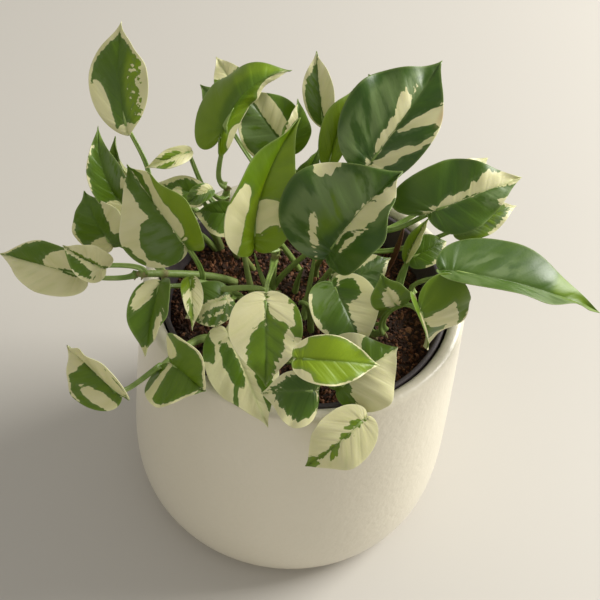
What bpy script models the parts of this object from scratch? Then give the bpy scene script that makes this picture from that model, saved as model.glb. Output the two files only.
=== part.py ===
"""A young variegated pothos in a plastic nursery pot, standing inside a glazed ceramic cover pot.

Units in the tables below are millimetres, scaled to metres by MM when a mesh is made. The origin is on
the pot's axis at the level it stands on, +Z is up and -Y is the side the plant is looked at from.
Each vine is a stem rooted in the soil, and each leaf, blade and stalk together, grows from its stem.
"""

import math

import bmesh
import bpy
from mathutils import Vector

MM = 0.001
GAP = 0.3  # left between pieces that touch

# Cover pot
RIM_RADIUS = 80.0
HEIGHT = 150.0
BELLY_RADIUS = 89.0
BELLY_HEIGHT = 38.0
BASE_RADIUS = 66.0
CORNER_POWER = 3.0
CORNER_STEPS = 7
SHOULDER_POWER = 1.2
SHOULDER_STEPS = 5
RIM_WIDTH = 7.5
RIM_ROUND = 1.2
RIM_DROP = 0.5
RIM_BLEND_OUTSIDE = 2.5
RIM_BLEND_INSIDE = 3.0
FLOOR = 8.0
INNER_CORNER_HEIGHT = 30.0
INNER_CORNER_WIDTH = 24.0
INNER_CORNER_STEPS = 4
INNER_HEIGHTS = (120.0, 90.0, 60.0)
COVER_STEPS = 40

# Nursery pot, standing on the cover pot's floor
NURSERY_BASE_RADIUS = 53.0
NURSERY_TOP_RADIUS = 70.4
NURSERY_TOP = 147.0
NURSERY_WALL = 1.2
NURSERY_FLOOR = 1.6
LIP_OUT = 1.4
LIP_DEPTH = 5.0
LIP_ROUND = 0.8
DRAIN_HOLES = 6
DRAIN_RADIUS = 4.0
DRAIN_CIRCLE = 36.0
DRAIN_TURN = 0.1  # share of one hole's spacing that the ring is turned by
DRAIN_SIDES = 12
DRILL_OVERRUN = 2.0
NURSERY_STEPS = 36

# Soil
SOIL_TOP = 130.0
SOIL_BUMP = 1.2
SOIL_WAVES = (9.0, 11.0, 17.0)
SOIL_RINGS = (0.75, 0.5, 0.25)
SOIL_STEPS = 36

# Stems and leaves
STEM_RADIUS = 2.3
STEM_TAPER = 0.3
STEM_SIDES = 8
STEM_SEGMENTS = 9
PETIOLE_RADIUS = 1.2
PETIOLE_TAPER = 0.3
PETIOLE_END = 0.1  # share of the midrib that the stalk runs on into
PETIOLE_RISE = 0.25
PETIOLE_LEVEL = 0.3
PETIOLE_SIDES = 6
PETIOLE_SEGMENTS = 5
STALK_GAP = 0.6  # from the stem's side to the middle of the stalk's slanting end
BLADE_THICKNESS = 1.3
MARGIN_THINNING = 0.45
BLADE_ROWS = (0.10, 0.22, 0.35, 0.55, 0.75, 0.90)
BLADE_COLUMNS = (-1.0, -0.5, 0.0, 0.5, 1.0)
LOBE_SHARE = 0.35  # share of the margin that runs round a lobe, from the notch to the widest place
LOBE_RIB = 0.105  # share of the midrib that the lobe's rows start from

# Colours, as (red, green, blue), roughness
MATERIALS = {
    "cover_pot": ((0.80, 0.76, 0.66), 0.35),
    "nursery_pot": ((0.05, 0.04, 0.04), 0.55),
    "soil": ((0.11, 0.05, 0.03), 0.95),
    "stem": ((0.24, 0.34, 0.13), 0.45),
    "leaf": ((0.16, 0.32, 0.07), 0.35),
}


def leaf(share, base, tip, face, width, **shape):
    """One leaf: its place along the stem, then its blade from base to tip, and the way its face looks."""
    return {"share": share, "base": base, "tip": tip, "face": face, "width": width, **shape}


# Each vine: the points its stem bends through, root first, and its leaves
VINES = {
    "northwest": (
        ((-46, 38, 118), (-50, 36, 156), (-70, 34, 166), (-84, 32, 174)),
        (
            leaf(1.0, (-95, 44, 194), (-103, 78, 236), (-0.1, -0.75, 0.62), 30,
                 fold=8, arch=-3, sweep=-4, lobe=0.0, wide=0.48),
            leaf(0.9, (-90, 29, 182), (-98, 31, 204), (-0.6, -0.6, 0.5), 12, fold=35, lobe=0.03),
            leaf(0.75, (-87, 7, 178), (-104, 25, 214), (0.2, -0.7, 0.5), 18,
                 fold=20, sweep=-5, lobe=0.08, wide=0.4),
        ),
    ),
    "west": (
        ((-30, 20, 118), (-42, 8, 142), (-60, -10, 158), (-80, -19, 164)),
        (
            leaf(0.8, (-94, -5, 166), (-109, 8, 188), (-0.2, -0.7, 0.6), 26,
                 fold=8, lobe=0.12, wide=0.42),
            leaf(1.0, (-102, -28, 168), (-144, -20, 168), (-0.1, -0.6, 0.8), 26,
                 fold=(10, 40), arch=3, wide=0.4),
            leaf(0.95, (-93, -25, 172), (-112, -23, 182), (-0.1, -0.7, 0.7), 18, fold=25),
        ),
    ),
    "middle_left": (
        ((-24, 4, 118), (-32, -2, 140), (-42, -10, 152), (-50, -14, 156)),
        (
            leaf(1.0, (-56, -15, 181), (-88, 10, 206), (0.05, -0.7, 0.75), 48,
                 fold=(2, 60), curl=(15, 0), lobe=0.1, wide=0.3),
            leaf(0.95, (-67, -25, 168), (-68, -61, 156), (-0.1, -0.6, 0.8), 23,
                 fold=(45, 12), lobe=0.06, wide=0.45),
            leaf(0.7, (-54, -22, 170), (-49, -46, 160), (0.2, -0.6, 0.8), 11,
                 fold=25, lobe=0.03, twist=60, wide=0.4),
            leaf(0.5, (-35, -25, 162), (-54, -36, 156), (0, -0.5, 0.9), 22, wide=0.45),
        ),
    ),
    "trailing": (
        ((-40, -22, 118), (-43, -34, 150), (-50, -52, 158), (-60, -66, 156)),
        (
            leaf(0.75, (-55, -67, 162), (-38, -77, 158), (0, -0.5, 0.9), 38, fold=(60, 0), lobe=0.14),
            leaf(1.0, (-73, -86, 160), (-99, -71, 172), (0, -0.5, 0.8), 28, fold=(0, 75), wide=0.4),
        ),
    ),
    "north_left": (
        ((-34, 34, 118), (-42, 32, 140), (-46, 30, 160), (-44, 31, 180)),
        (
            leaf(1.0, (-48, 32, 210), (-18, 60, 232), (-0.3, -0.55, 0.75), (27, 12),
                 fold=(0, -80), arch=10, sweep=-3, lobe=0.26, wide=0.32),
            leaf(0.6, (-56, 28, 174), (-80, 29, 178), (0, -0.6, 0.8), 15),
            leaf(0.4, (-37, 16, 176), (-58, 16, 174), (0, -0.6, 0.8), (12, 6)),
            leaf(0.75, (-61, 29, 202), (-81, 15, 200), (0.1, -0.8, 0.7), 10,
                 fold=30, lobe=0.03, wide=0.45),
            leaf(0.9, (-49, 16, 191), (-61, 8, 186), (0, -0.6, 0.8), 10, fold=30, lobe=0.03, wide=0.45),
        ),
    ),
    "middle": (
        ((-16, 10, 118), (-17, 6, 136), (-18, 8, 150), (-16, 10, 162)),
        (
            leaf(1.0, (-26, -7, 178), (-11, 28, 230), (-0.1, -0.75, 0.65), (22, 18),
                 fold=(68, 8), sweep=-5, lobe=0.07, wide=0.3),
            leaf(0.8, (-17, -43, 188), (-12, -76, 165), (0.03, -0.7, 0.7), 32,
                 fold=8, arch=3, lobe=0.08, wide=0.4),
            leaf(0.9, (-14, 29, 184), (-1, 40, 204), (0.4, -0.6, 0.5), 12, fold=30, lobe=0.03, wide=0.45),
        ),
    ),
    "north": (
        ((-4, 46, 118), (-8, 46, 145), (-10, 50, 165), (-8, 52, 180)),
        (
            leaf(0.9, (-18, 50, 192), (-43, 57, 221), (0.1, -0.7, 0.7), 32, fold=10, wide=0.4),
            leaf(0.8, (-16, 40, 200), (-14, 52, 222), (0.5, -0.7, 0.5), 16, fold=15),
            leaf(0.7, (-45, 80, 196), (-59, 92, 212), (0, -0.6, 0.8), 18),
            leaf(0.5, (-50, 74, 188), (-65, 78, 204), (0, -0.6, 0.8), 18),
            leaf(1.0, (0, 54, 205), (-8, 78, 232), (-0.2, -0.7, 0.6), 16, fold=20, wide=0.45, lobe=0.02),
            leaf(0.6, (4, 30, 198), (12, 60, 226), (-0.3, -0.8, 0.5), 17, fold=30, wide=0.5, lobe=0.02),
            leaf(0.4, (-20, 80, 166), (-34, 106, 138), (0, 0.7, 0.7), 32, lobe=0.1, wide=0.4),
            leaf(0.45, (24, 82, 164), (44, 104, 138), (0.2, 0.7, 0.7), 30, lobe=0.1, wide=0.4),
        ),
    ),
    "northeast": (
        ((18, 26, 118), (22, 24, 142), (28, 22, 160), (30, 22, 176)),
        (
            leaf(1.0, (21, 25, 205), (52, 71, 239.6), (0.1, -0.75, 0.65), (27, 19),
                 fold=(8, 35), wide=0.4, lobe=0.08),
            leaf(0.7, (8, -15, 186), (37, 9, 222), (0.05, -0.75, 0.65), (33, 26),
                 fold=(0, 62), sweep=-3, lobe=(0.14, 0.06), wide=0.36),
            leaf(0.9, (29, 68, 204), (19, 84, 218), (0, -0.6, 0.8), 16),
            leaf(0.95, (52, 7, 200), (94, 26, 212), (0, -0.65, 0.75), (20, 15),
                 fold=8, lobe=(0.36, 0.04), wide=0.3),
            leaf(0.8, (66, 41, 186), (83, 57, 196), (0, -0.6, 0.8), 16),
            leaf(0.6, (69, 18, 182), (98, 33, 188), (0, -0.6, 0.8), 18),
        ),
    ),
    "east": (
        ((34, 4, 118), (40, 0, 138), (46, -4, 152), (52, -10, 162)),
        (
            leaf(1.0, (59, -18, 190), (140, -13, 168), (0, -0.1, 1), 40,
                 fold=(20, 40), arch=5, lobe=0.06, wide=0.34),
            leaf(0.6, (49, 8, 168), (67, 22, 169), (0, -0.6, 0.8), 16),
            leaf(0.7, (47, 5, 168), (55, 16, 190), (-0.3, -0.6, 0.7), 9, fold=45, lobe=0.0, wide=0.45),
        ),
    ),
    "southeast": (
        ((22, -16, 118), (28, -18, 134), (34, -22, 144), (40, -26, 151)),
        (
            leaf(1.0, (51, -37, 184), (57, -39, 160), (0.35, -0.6, 0.75), (27, 9),
                 fold=(5, 60), lobe=0.42, wide=0.4),
            leaf(0.75, (42, -32, 178), (32, -29, 195), (-0.3, -0.6, 0.7), 18, lobe=0.05, wide=0.45),
            leaf(0.35, (16, -4, 152), (41, 17, 158), (0, -0.5, 0.8), 22),
            leaf(0.55, (12, -17, 172), (30, -45, 157), (0.1, -0.6, 0.8), 32, wide=0.4),
        ),
    ),
    "front": (
        ((2, -32, 118), (4, -38, 140), (8, -46, 151), (14, -52, 155)),
        (
            leaf(0.4, (-34, -41, 158), (-9, -90, 155), (0, -0.3, 0.95), 32,
                 fold=3, arch=1, wide=0.4),
            leaf(0.7, (10, -74, 164), (-14, -78, 163), (0, -0.5, 0.85), (16, 9), fold=(-5, 22), wide=0.4),
            leaf(0.5, (-1, -71, 181), (36, -63, 173), (0, -0.55, 0.85), 22, lobe=0.08, wide=0.36),
            leaf(0.9, (19, -68, 158), (44, -51, 172), (0, -0.4, 0.9), 38,
                 fold=(8, 5), curl=(5, 40), wide=0.4),
            leaf(1.0, (33, -78, 155), (9, -94, 134), (0, -0.8, 0.55), 27, lobe=0.1, wide=0.4),
        ),
    ),
}


def bezier(points, t):
    """The point at t of the Bezier curve with these control points."""
    points = [Vector(point) for point in points]
    while len(points) > 1:
        points = [a.lerp(b, t) for a, b in zip(points, points[1:])]
    return points[0]


def clear_scene():
    for obj in list(bpy.data.objects):
        bpy.data.objects.remove(obj)


def material(name):
    """The Principled material of this name, made once from MATERIALS."""
    if name in bpy.data.materials:
        return bpy.data.materials[name]
    colour, roughness = MATERIALS[name]
    made = bpy.data.materials.new(name)
    made.use_nodes = True
    shader = made.node_tree.nodes["Principled BSDF"]
    shader.inputs["Base Color"].default_value = (*colour, 1.0)
    shader.inputs["Roughness"].default_value = roughness
    return made


def add_object(name, bm, material_name):
    """Turns the bmesh, in millimetres, into a smooth object in metres with outward normals."""
    bmesh.ops.scale(bm, vec=(MM, MM, MM), verts=bm.verts)
    bmesh.ops.recalc_face_normals(bm, faces=bm.faces)
    mesh = bpy.data.meshes.new(name)
    bm.to_mesh(mesh)
    bm.free()
    mesh.polygons.foreach_set("use_smooth", [True] * len(mesh.polygons))
    obj = bpy.data.objects.new(name, mesh)
    obj.data.materials.append(material(material_name))
    bpy.context.collection.objects.link(obj)
    return obj


def helper(obj):
    """Marks an object that only serves a Boolean."""
    obj.hide_render = True
    obj.display_type = "WIRE"
    return obj


def boolean(obj, other, operation):
    modifier = obj.modifiers.new(operation.title(), "BOOLEAN")
    modifier.operation = operation
    modifier.solver = "EXACT"
    modifier.object = helper(other)


def turned(name, profile, steps, material_name):
    """A solid turned about Z from its (radius, height) profile, which starts and ends on the axis."""
    bm = bmesh.new()
    verts = [bm.verts.new((radius, 0, z)) for radius, z in profile]
    edges = [bm.edges.new(pair) for pair in zip(verts, verts[1:])]
    bmesh.ops.spin(
        bm, geom=verts + edges, axis=(0, 0, 1), cent=(0, 0, 0), angle=2 * math.pi, steps=steps
    )
    bmesh.ops.remove_doubles(bm, verts=bm.verts, dist=0.001)
    return add_object(name, bm, material_name)


def tube(points, radii, sides):
    """A bmesh tube with flat ends along the points, one radius for each."""
    bm = bmesh.new()
    last = len(points) - 1
    turn = None
    before = None
    rings = []
    for i, (point, radius) in enumerate(zip(points, radii)):
        along = (points[min(i + 1, last)] - points[max(i - 1, 0)]).normalized()
        if turn is None:
            turn = Vector((0, 0, 1)).rotation_difference(along)
        else:
            turn = before.rotation_difference(along) @ turn
        before = along
        ring = []
        for k in range(sides):
            angle = 2 * math.pi * k / sides
            offset = Vector((math.cos(angle), math.sin(angle), 0)) * radius
            ring.append(bm.verts.new(point + turn @ offset))
        rings.append(ring)
    for lower, upper in zip(rings, rings[1:]):
        for k in range(sides):
            j = (k + 1) % sides
            bm.faces.new((lower[k], lower[j], upper[j], upper[k]))
    bm.faces.new(rings[0])
    bm.faces.new(rings[-1])
    return bm


def cover_radius(z):
    """Outer radius of the cover pot: a soft corner up to the belly, then a slow taper to the rim."""
    if z < BELLY_HEIGHT:
        rise = 1 - (1 - z / BELLY_HEIGHT) ** CORNER_POWER
        return BASE_RADIUS + (BELLY_RADIUS - BASE_RADIUS) * rise ** (1 / CORNER_POWER)
    share = (z - BELLY_HEIGHT) / (HEIGHT - BELLY_HEIGHT)
    return BELLY_RADIUS - (BELLY_RADIUS - RIM_RADIUS) * share**SHOULDER_POWER


def cover_pot():
    """Cast ceramic shell with an even wall, a flat foot and a rounded rim."""
    turns = [math.pi / 2 * i / CORNER_STEPS for i in range(CORNER_STEPS + 1)]
    corner = [BELLY_HEIGHT * (1 - math.cos(angle)) for angle in turns]
    rise = HEIGHT - RIM_BLEND_OUTSIDE - BELLY_HEIGHT
    side = [BELLY_HEIGHT + rise * i / SHOULDER_STEPS for i in range(1, SHOULDER_STEPS + 1)]
    profile = [(0, 0)] + [(cover_radius(z), z) for z in corner + side]
    middle = RIM_RADIUS - RIM_WIDTH / 2
    profile += [(RIM_RADIUS - RIM_ROUND, HEIGHT - RIM_DROP), (middle, HEIGHT)]
    profile += [(RIM_RADIUS - RIM_WIDTH + RIM_ROUND, HEIGHT - RIM_DROP)]
    inner = [HEIGHT - RIM_BLEND_INSIDE, *INNER_HEIGHTS, INNER_CORNER_HEIGHT + FLOOR]
    profile += [(cover_radius(z) - RIM_WIDTH, z) for z in inner]
    wide = cover_radius(inner[-1]) - RIM_WIDTH
    for i in range(1, INNER_CORNER_STEPS + 1):
        angle = math.pi / 2 * i / INNER_CORNER_STEPS
        inset = INNER_CORNER_WIDTH * (1 - math.cos(angle))
        profile.append((wide - inset, FLOOR + INNER_CORNER_HEIGHT * (1 - math.sin(angle))))
    profile.append((0, FLOOR))
    return turned("cover_pot", profile, COVER_STEPS, "cover_pot")


def nursery_radius(z):
    """Outer radius of the nursery pot's straight tapered wall."""
    low = FLOOR + GAP
    share = (z - low) / (NURSERY_TOP - low)
    return NURSERY_BASE_RADIUS + (NURSERY_TOP_RADIUS - NURSERY_BASE_RADIUS) * share


def nursery_pot():
    """Thin moulded pot with a turned-out lip and a ring of drain holes."""
    low = FLOOR + GAP
    lip = NURSERY_TOP - LIP_DEPTH
    inside = low + NURSERY_FLOOR
    profile = [
        (0, low),
        (NURSERY_BASE_RADIUS, low),
        (nursery_radius(lip), lip),
        (nursery_radius(lip) + LIP_OUT, lip),
        (nursery_radius(NURSERY_TOP) + LIP_OUT, NURSERY_TOP - LIP_ROUND),
        (nursery_radius(NURSERY_TOP), NURSERY_TOP),
        (nursery_radius(NURSERY_TOP) - NURSERY_WALL, NURSERY_TOP - LIP_ROUND),
        (nursery_radius(inside) - NURSERY_WALL, inside),
        (0, inside),
    ]
    pot = turned("nursery_pot", profile, NURSERY_STEPS, "nursery_pot")
    for i in range(DRAIN_HOLES):
        angle = 2 * math.pi * (i + DRAIN_TURN) / DRAIN_HOLES
        centre = Vector((math.cos(angle), math.sin(angle), 0)) * DRAIN_CIRCLE
        ends = [centre + Vector((0, 0, z)) for z in (low - DRILL_OVERRUN, inside + DRILL_OVERRUN)]
        drill = tube(ends, [DRAIN_RADIUS] * 2, DRAIN_SIDES)
        boolean(pot, add_object(f"drain_cutter_{i + 1}", drill, "nursery_pot"), "DIFFERENCE")
    return pot


def soil():
    """Potting mix that fills the nursery pot, with a slightly uneven top."""
    low = FLOOR + 2 * GAP + NURSERY_FLOOR
    edge = nursery_radius(SOIL_TOP) - NURSERY_WALL - GAP
    profile = [(0, low), (nursery_radius(low) - NURSERY_WALL - GAP, low), (edge, SOIL_TOP)]
    profile += [(edge * share, SOIL_TOP) for share in SOIL_RINGS] + [(0, SOIL_TOP)]
    body = turned("soil", profile, SOIL_STEPS, "soil")
    for vert in body.data.vertices:
        x, y, z = vert.co / MM
        if z > SOIL_TOP - 1 and math.hypot(x, y) < edge - 1:
            wave_x, wave_y, wave_both = SOIL_WAVES
            lift = math.sin(x / wave_x) * math.cos(y / wave_y) + math.sin((x + y) / wave_both)
            vert.co.z += SOIL_BUMP * MM * lift
    return body


def outline(s, lobe, wide):
    """(along, across) of the margin at s: from the notch at 0, round the lobe, to the tip at 1."""
    if s < LOBE_SHARE:
        handles = [(0, 0), (-lobe, 0.12), (0.3 * wide - 1.6 * lobe, 1), (wide, 1)]
        return bezier(handles, s / LOBE_SHARE)
    handles = [(wide, 1), (wide + 0.28, 1), (0.82, 0.16), (1, 0)]
    return bezier(handles, (s - LOBE_SHARE) / (1 - LOBE_SHARE))


class Blade:
    """A heart-shaped blade, bowed along its midrib and folded along it like an open book."""

    def __init__(self, base, tip, face, width, fold=12, curl=10, arch=4, sweep=0, twist=0,
                 lobe=0.12, wide=0.34):
        self.base = Vector(base)
        self.run = Vector(tip) - self.base
        along = self.run.normalized()
        face = Vector(face)
        self.face = (face - along * face.dot(along)).normalized()
        self.side = along.cross(self.face)
        self.half = width if isinstance(width, tuple) else (width / 2, width / 2)
        self.fold = fold if isinstance(fold, tuple) else (fold, fold)
        self.curl = curl if isinstance(curl, tuple) else (curl, curl)
        self.arch, self.sweep, self.twist = arch, sweep, twist
        self.lobe = lobe if isinstance(lobe, tuple) else (lobe, lobe)
        self.wide = wide

    def midrib(self, u):
        """Place, side and face directions on the midrib, u from 0 at the stalk to 1 at the tip."""
        w = max(u, 0)
        bow = 4 * w * (1 - w) + 4 * min(u, 0)
        slope = 4 * (1 - 2 * w)
        lean = self.face * self.arch + self.side * self.sweep
        place = self.base + self.run * u + lean * bow
        along = (self.run + lean * slope).normalized()
        face = (self.face - along * self.face.dot(along)).normalized()
        side = along.cross(face)
        angle = math.radians(self.twist * (w - 0.3))
        turned_side = side * math.cos(angle) + face * math.sin(angle)
        turned_face = face * math.cos(angle) - side * math.sin(angle)
        return place, turned_side, turned_face

    def point(self, s, t, lift=0.0):
        """A point of the blade: s along the margin, t from -1 to 1 across it, lift off its middle."""
        half = 0 if t < 0 else 1
        along, across = outline(s, self.lobe[half], self.wide)
        start = LOBE_RIB / LOBE_SHARE * s
        if s > LOBE_SHARE:
            start = LOBE_RIB + (1 - LOBE_RIB) * (s - LOBE_SHARE) / (1 - LOBE_SHARE)
        u = start + abs(t) * (along - start)
        reach = abs(t) * across * self.half[half]
        place, side, face = self.midrib(u)
        first = math.radians(self.fold[half])
        last = first - math.radians(self.curl[half]) * reach / self.half[half]
        middle = (first + last) / 2
        out = reach * math.cos(middle) * (1 if half else -1)
        return place + side * out + face * (reach * math.sin(middle) + lift)


def blade_solid(blade):
    """The blade as a thin lens: two skins that share the margin, the notch and the tip."""
    bm = bmesh.new()
    notch = bm.verts.new(blade.point(0, 0))
    tip = bm.verts.new(blade.point(1, 0))
    margins = {
        (s, t): bm.verts.new(blade.point(s, t)) for s in BLADE_ROWS for t in (-1.0, 1.0)
    }
    for way in (1, -1):
        rows = []
        for s in BLADE_ROWS:
            row = []
            for t in BLADE_COLUMNS:
                if (s, t) in margins:
                    row.append(margins[s, t])
                else:
                    lift = way * BLADE_THICKNESS / 2 * (1 - MARGIN_THINNING * abs(t))
                    row.append(bm.verts.new(blade.point(s, t, lift)))
            rows.append(row)
        for k in range(len(BLADE_COLUMNS) - 1):
            bm.faces.new((notch, rows[0][k], rows[0][k + 1]))
            bm.faces.new((tip, rows[-1][k + 1], rows[-1][k]))
            for low, high in zip(rows, rows[1:]):
                bm.faces.new((low[k], high[k], high[k + 1], low[k + 1]))
    return bm


def stem_points(path):
    return [bezier(path, i / STEM_SEGMENTS) for i in range(STEM_SEGMENTS + 1)]


def stem_radius(share):
    return STEM_RADIUS * (1 - STEM_TAPER * share)


def petiole_points(path, share, blade):
    """The stalk's middle line, from just off the stem's side to inside the blade's base."""
    at = bezier(path, share)
    along = (bezier(path, min(share + 0.02, 1)) - bezier(path, share - 0.02)).normalized()
    to_base = blade.base - at
    out = (to_base - along * to_base.dot(along)).normalized()
    start = at + out * (stem_radius(share) + STALK_GAP)
    end, _, face = blade.midrib(PETIOLE_END)
    rib = (end - blade.base).normalized()
    reach = (end - start).length
    handles = [
        start,
        start + out * PETIOLE_RISE * reach,
        end - rib * PETIOLE_LEVEL * reach - face * PETIOLE_RISE * reach,
        end,
    ]
    return [bezier(handles, i / PETIOLE_SEGMENTS) for i in range(PETIOLE_SEGMENTS + 1)]


def add_stem(name, path, ground):
    """A stem in its socket: the soil is bored round it and under its end."""
    points = stem_points(path)
    radii = [stem_radius(i / STEM_SEGMENTS) for i in range(len(points))]
    add_object(f"stem_{name}", tube(points, radii, STEM_SIDES), "stem")
    down = (points[0] - points[1]).normalized() * GAP
    socket = tube([points[0] + down] + points[1:], [radius + GAP for radius in radii], STEM_SIDES)
    boolean(ground, add_object(f"socket_cutter_{name}", socket, "soil"), "DIFFERENCE")


def add_leaf(name, path, share, **shape):
    """Blade and stalk joined as the one piece they grow as."""
    blade = Blade(**shape)
    obj = add_object(name, blade_solid(blade), "leaf")
    points = petiole_points(path, share, blade)
    radii = [PETIOLE_RADIUS * (1 - PETIOLE_TAPER * i / PETIOLE_SEGMENTS) for i in range(len(points))]
    stalk = add_object(f"{name}_stalk", tube(points, radii, PETIOLE_SIDES), "leaf")
    boolean(obj, stalk, "UNION")


def main():
    clear_scene()
    cover_pot()
    nursery_pot()
    ground = soil()
    for name, (path, leaves) in VINES.items():
        add_stem(name, path, ground)
        for number, spec in enumerate(leaves, start=1):
            add_leaf(f"leaf_{name}_{number}", path, **spec)


main()
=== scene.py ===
"""A young variegated pothos in a nursery pot, standing inside a glazed ceramic cover pot.

Tables are in millimetres and are scaled by MM when a mesh is made. Each vine's leaves are painted
with zones of cream and green in the blade's own coordinates: along the midrib, and across it.
"""

import math

import bpy
import numpy as np
from mathutils import Matrix, Vector


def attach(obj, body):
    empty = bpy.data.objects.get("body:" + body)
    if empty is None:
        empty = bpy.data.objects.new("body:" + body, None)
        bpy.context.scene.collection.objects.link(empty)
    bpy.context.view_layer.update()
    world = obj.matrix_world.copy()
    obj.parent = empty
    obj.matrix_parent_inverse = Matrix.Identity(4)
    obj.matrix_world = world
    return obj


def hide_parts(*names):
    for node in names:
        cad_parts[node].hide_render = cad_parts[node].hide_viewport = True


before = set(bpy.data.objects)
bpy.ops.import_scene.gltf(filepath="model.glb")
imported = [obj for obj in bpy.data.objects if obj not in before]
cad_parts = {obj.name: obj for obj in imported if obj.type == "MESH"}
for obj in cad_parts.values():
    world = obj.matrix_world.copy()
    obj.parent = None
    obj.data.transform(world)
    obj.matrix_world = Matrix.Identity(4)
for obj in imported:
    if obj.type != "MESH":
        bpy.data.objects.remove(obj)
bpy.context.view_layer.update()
MM = 0.001


# --- Cover pot -------------------------------------------------------------------------------------
# Slip-cast stoneware, glazed all over but for the ring it stands on. Its wall is of one thickness,
# drawn in from a soft belly to a rounded rim. It is turned, so its section is swept about the axis.

COVER_RIM_RADIUS = 80.0
COVER_HEIGHT = 150.0
COVER_BELLY_RADIUS = 89.0
COVER_BELLY_HEIGHT = 38.0
COVER_BASE_RADIUS = 66.0
COVER_CORNER_POWER = 3.0
COVER_WALL = 7.5
COVER_FLOOR = 8.0
COVER_INNER_CORNER = 30.0
FOOT_GROOVE_DEPTH = 1.2
FOOT_RING_WIDTH = 5.0
COVER_SHOULDER_POWER = 1.2
SIDE_STEPS = 24
RIM_STEPS = 16
INNER_CORNER_STEPS = 12
TURN_STEPS = 160
CLOSE_GAP = 1e-6


class Field:
    """A number that changes over a surface. Python's operators on it add Math nodes."""

    def __init__(self, finish, socket):
        self.finish, self.socket = finish, socket

    def math(self, operation, *values):
        values = dict(enumerate((self, *values)))
        return self.finish.field("ShaderNodeMath", {"operation": operation}, values)

    def __add__(self, other):
        return self.math("ADD", other)

    def __sub__(self, other):
        return self.math("SUBTRACT", other)

    def __rsub__(self, other):
        return (self * -1.0) + other

    def __mul__(self, other):
        return self.math("MULTIPLY", other)

    __radd__ = __add__
    __rmul__ = __mul__

    def __pow__(self, other):
        return self.math("POWER", other)

    def __abs__(self):
        return self.math("ABSOLUTE")

    def max(self, other):
        return self.math("MAXIMUM", other)

    def sine(self):
        return self.math("SINE")

    def step(self, low, high):
        """0 below low, 1 above high, and a smooth rise between them."""
        settings = {"interpolation_type": "SMOOTHSTEP"}
        inputs = {"Value": self, "From Min": low, "From Max": high}
        return self.finish.field("ShaderNodeMapRange", settings, inputs)


class Finish:
    """A material being made. Every node comes from node(), and what it returns feeds the next one."""

    def __init__(self, name, **constants):
        self.made = bpy.data.materials.new(name)
        self.made.use_nodes = True
        self.tree = self.made.node_tree
        self.shader = self.tree.nodes["Principled BSDF"]
        for socket, value in constants.items():
            self.shader.inputs[socket.replace("_", " ")].default_value = value

    def node(self, kind, settings=None, inputs=None):
        made = self.tree.nodes.new(kind)
        for name, value in (settings or {}).items():
            setattr(made, name, value)
        self.wire(made, inputs or {})
        return made

    def wire(self, node, inputs):
        for name, value in inputs.items():
            value = getattr(value, "socket", value)
            if isinstance(value, bpy.types.NodeSocket):
                self.tree.links.new(value, node.inputs[name])
            else:
                node.inputs[name].default_value = value

    def field(self, kind, settings=None, inputs=None, output=0):
        return Field(self, self.node(kind, settings, inputs).outputs[output])

    def attribute(self, name):
        return self.field("ShaderNodeAttribute", {"attribute_name": name}, output=2)

    def noise(self, place, scale, detail=2.0, roughness=0.5, **more):
        """Noise about 0, from -1 to 1, in the mesh's own metres unless place says otherwise."""
        inputs = {"Vector": place, "Scale": scale, "Detail": detail, "Roughness": roughness, **more}
        return self.field("ShaderNodeTexNoise", None, inputs) * 2.0 - 1.0

    def mix(self, share, first, second, blend="MIX"):
        settings = {"data_type": "RGBA", "blend_type": blend}
        first, second = (self.colour(c) for c in (first, second))
        return self.node("ShaderNodeMix", settings, {0: share, 6: first, 7: second}).outputs[2]

    def colour(self, value):
        return (*value, 1.0) if isinstance(value, tuple) and len(value) == 3 else value

    def finish(self, colour, roughness, height=None, depth=0.001, **more):
        """Wires the shader, with height in parts of depth, which is in metres, as its bump."""
        inputs = {"Base Color": self.colour(colour), "Roughness": roughness, **more}
        if height is not None:
            bump = self.node("ShaderNodeBump", None, {"Height": height, "Distance": depth})
            inputs["Normal"] = bump.outputs[0]
        self.wire(self.shader, inputs)
        return self.made


def give_finish(obj, made):
    obj.data.materials.clear()
    obj.data.materials.append(made)


def add_piece(name, mesh):
    obj = bpy.data.objects.new(name, mesh)
    bpy.context.scene.collection.objects.link(obj)
    return obj


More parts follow.
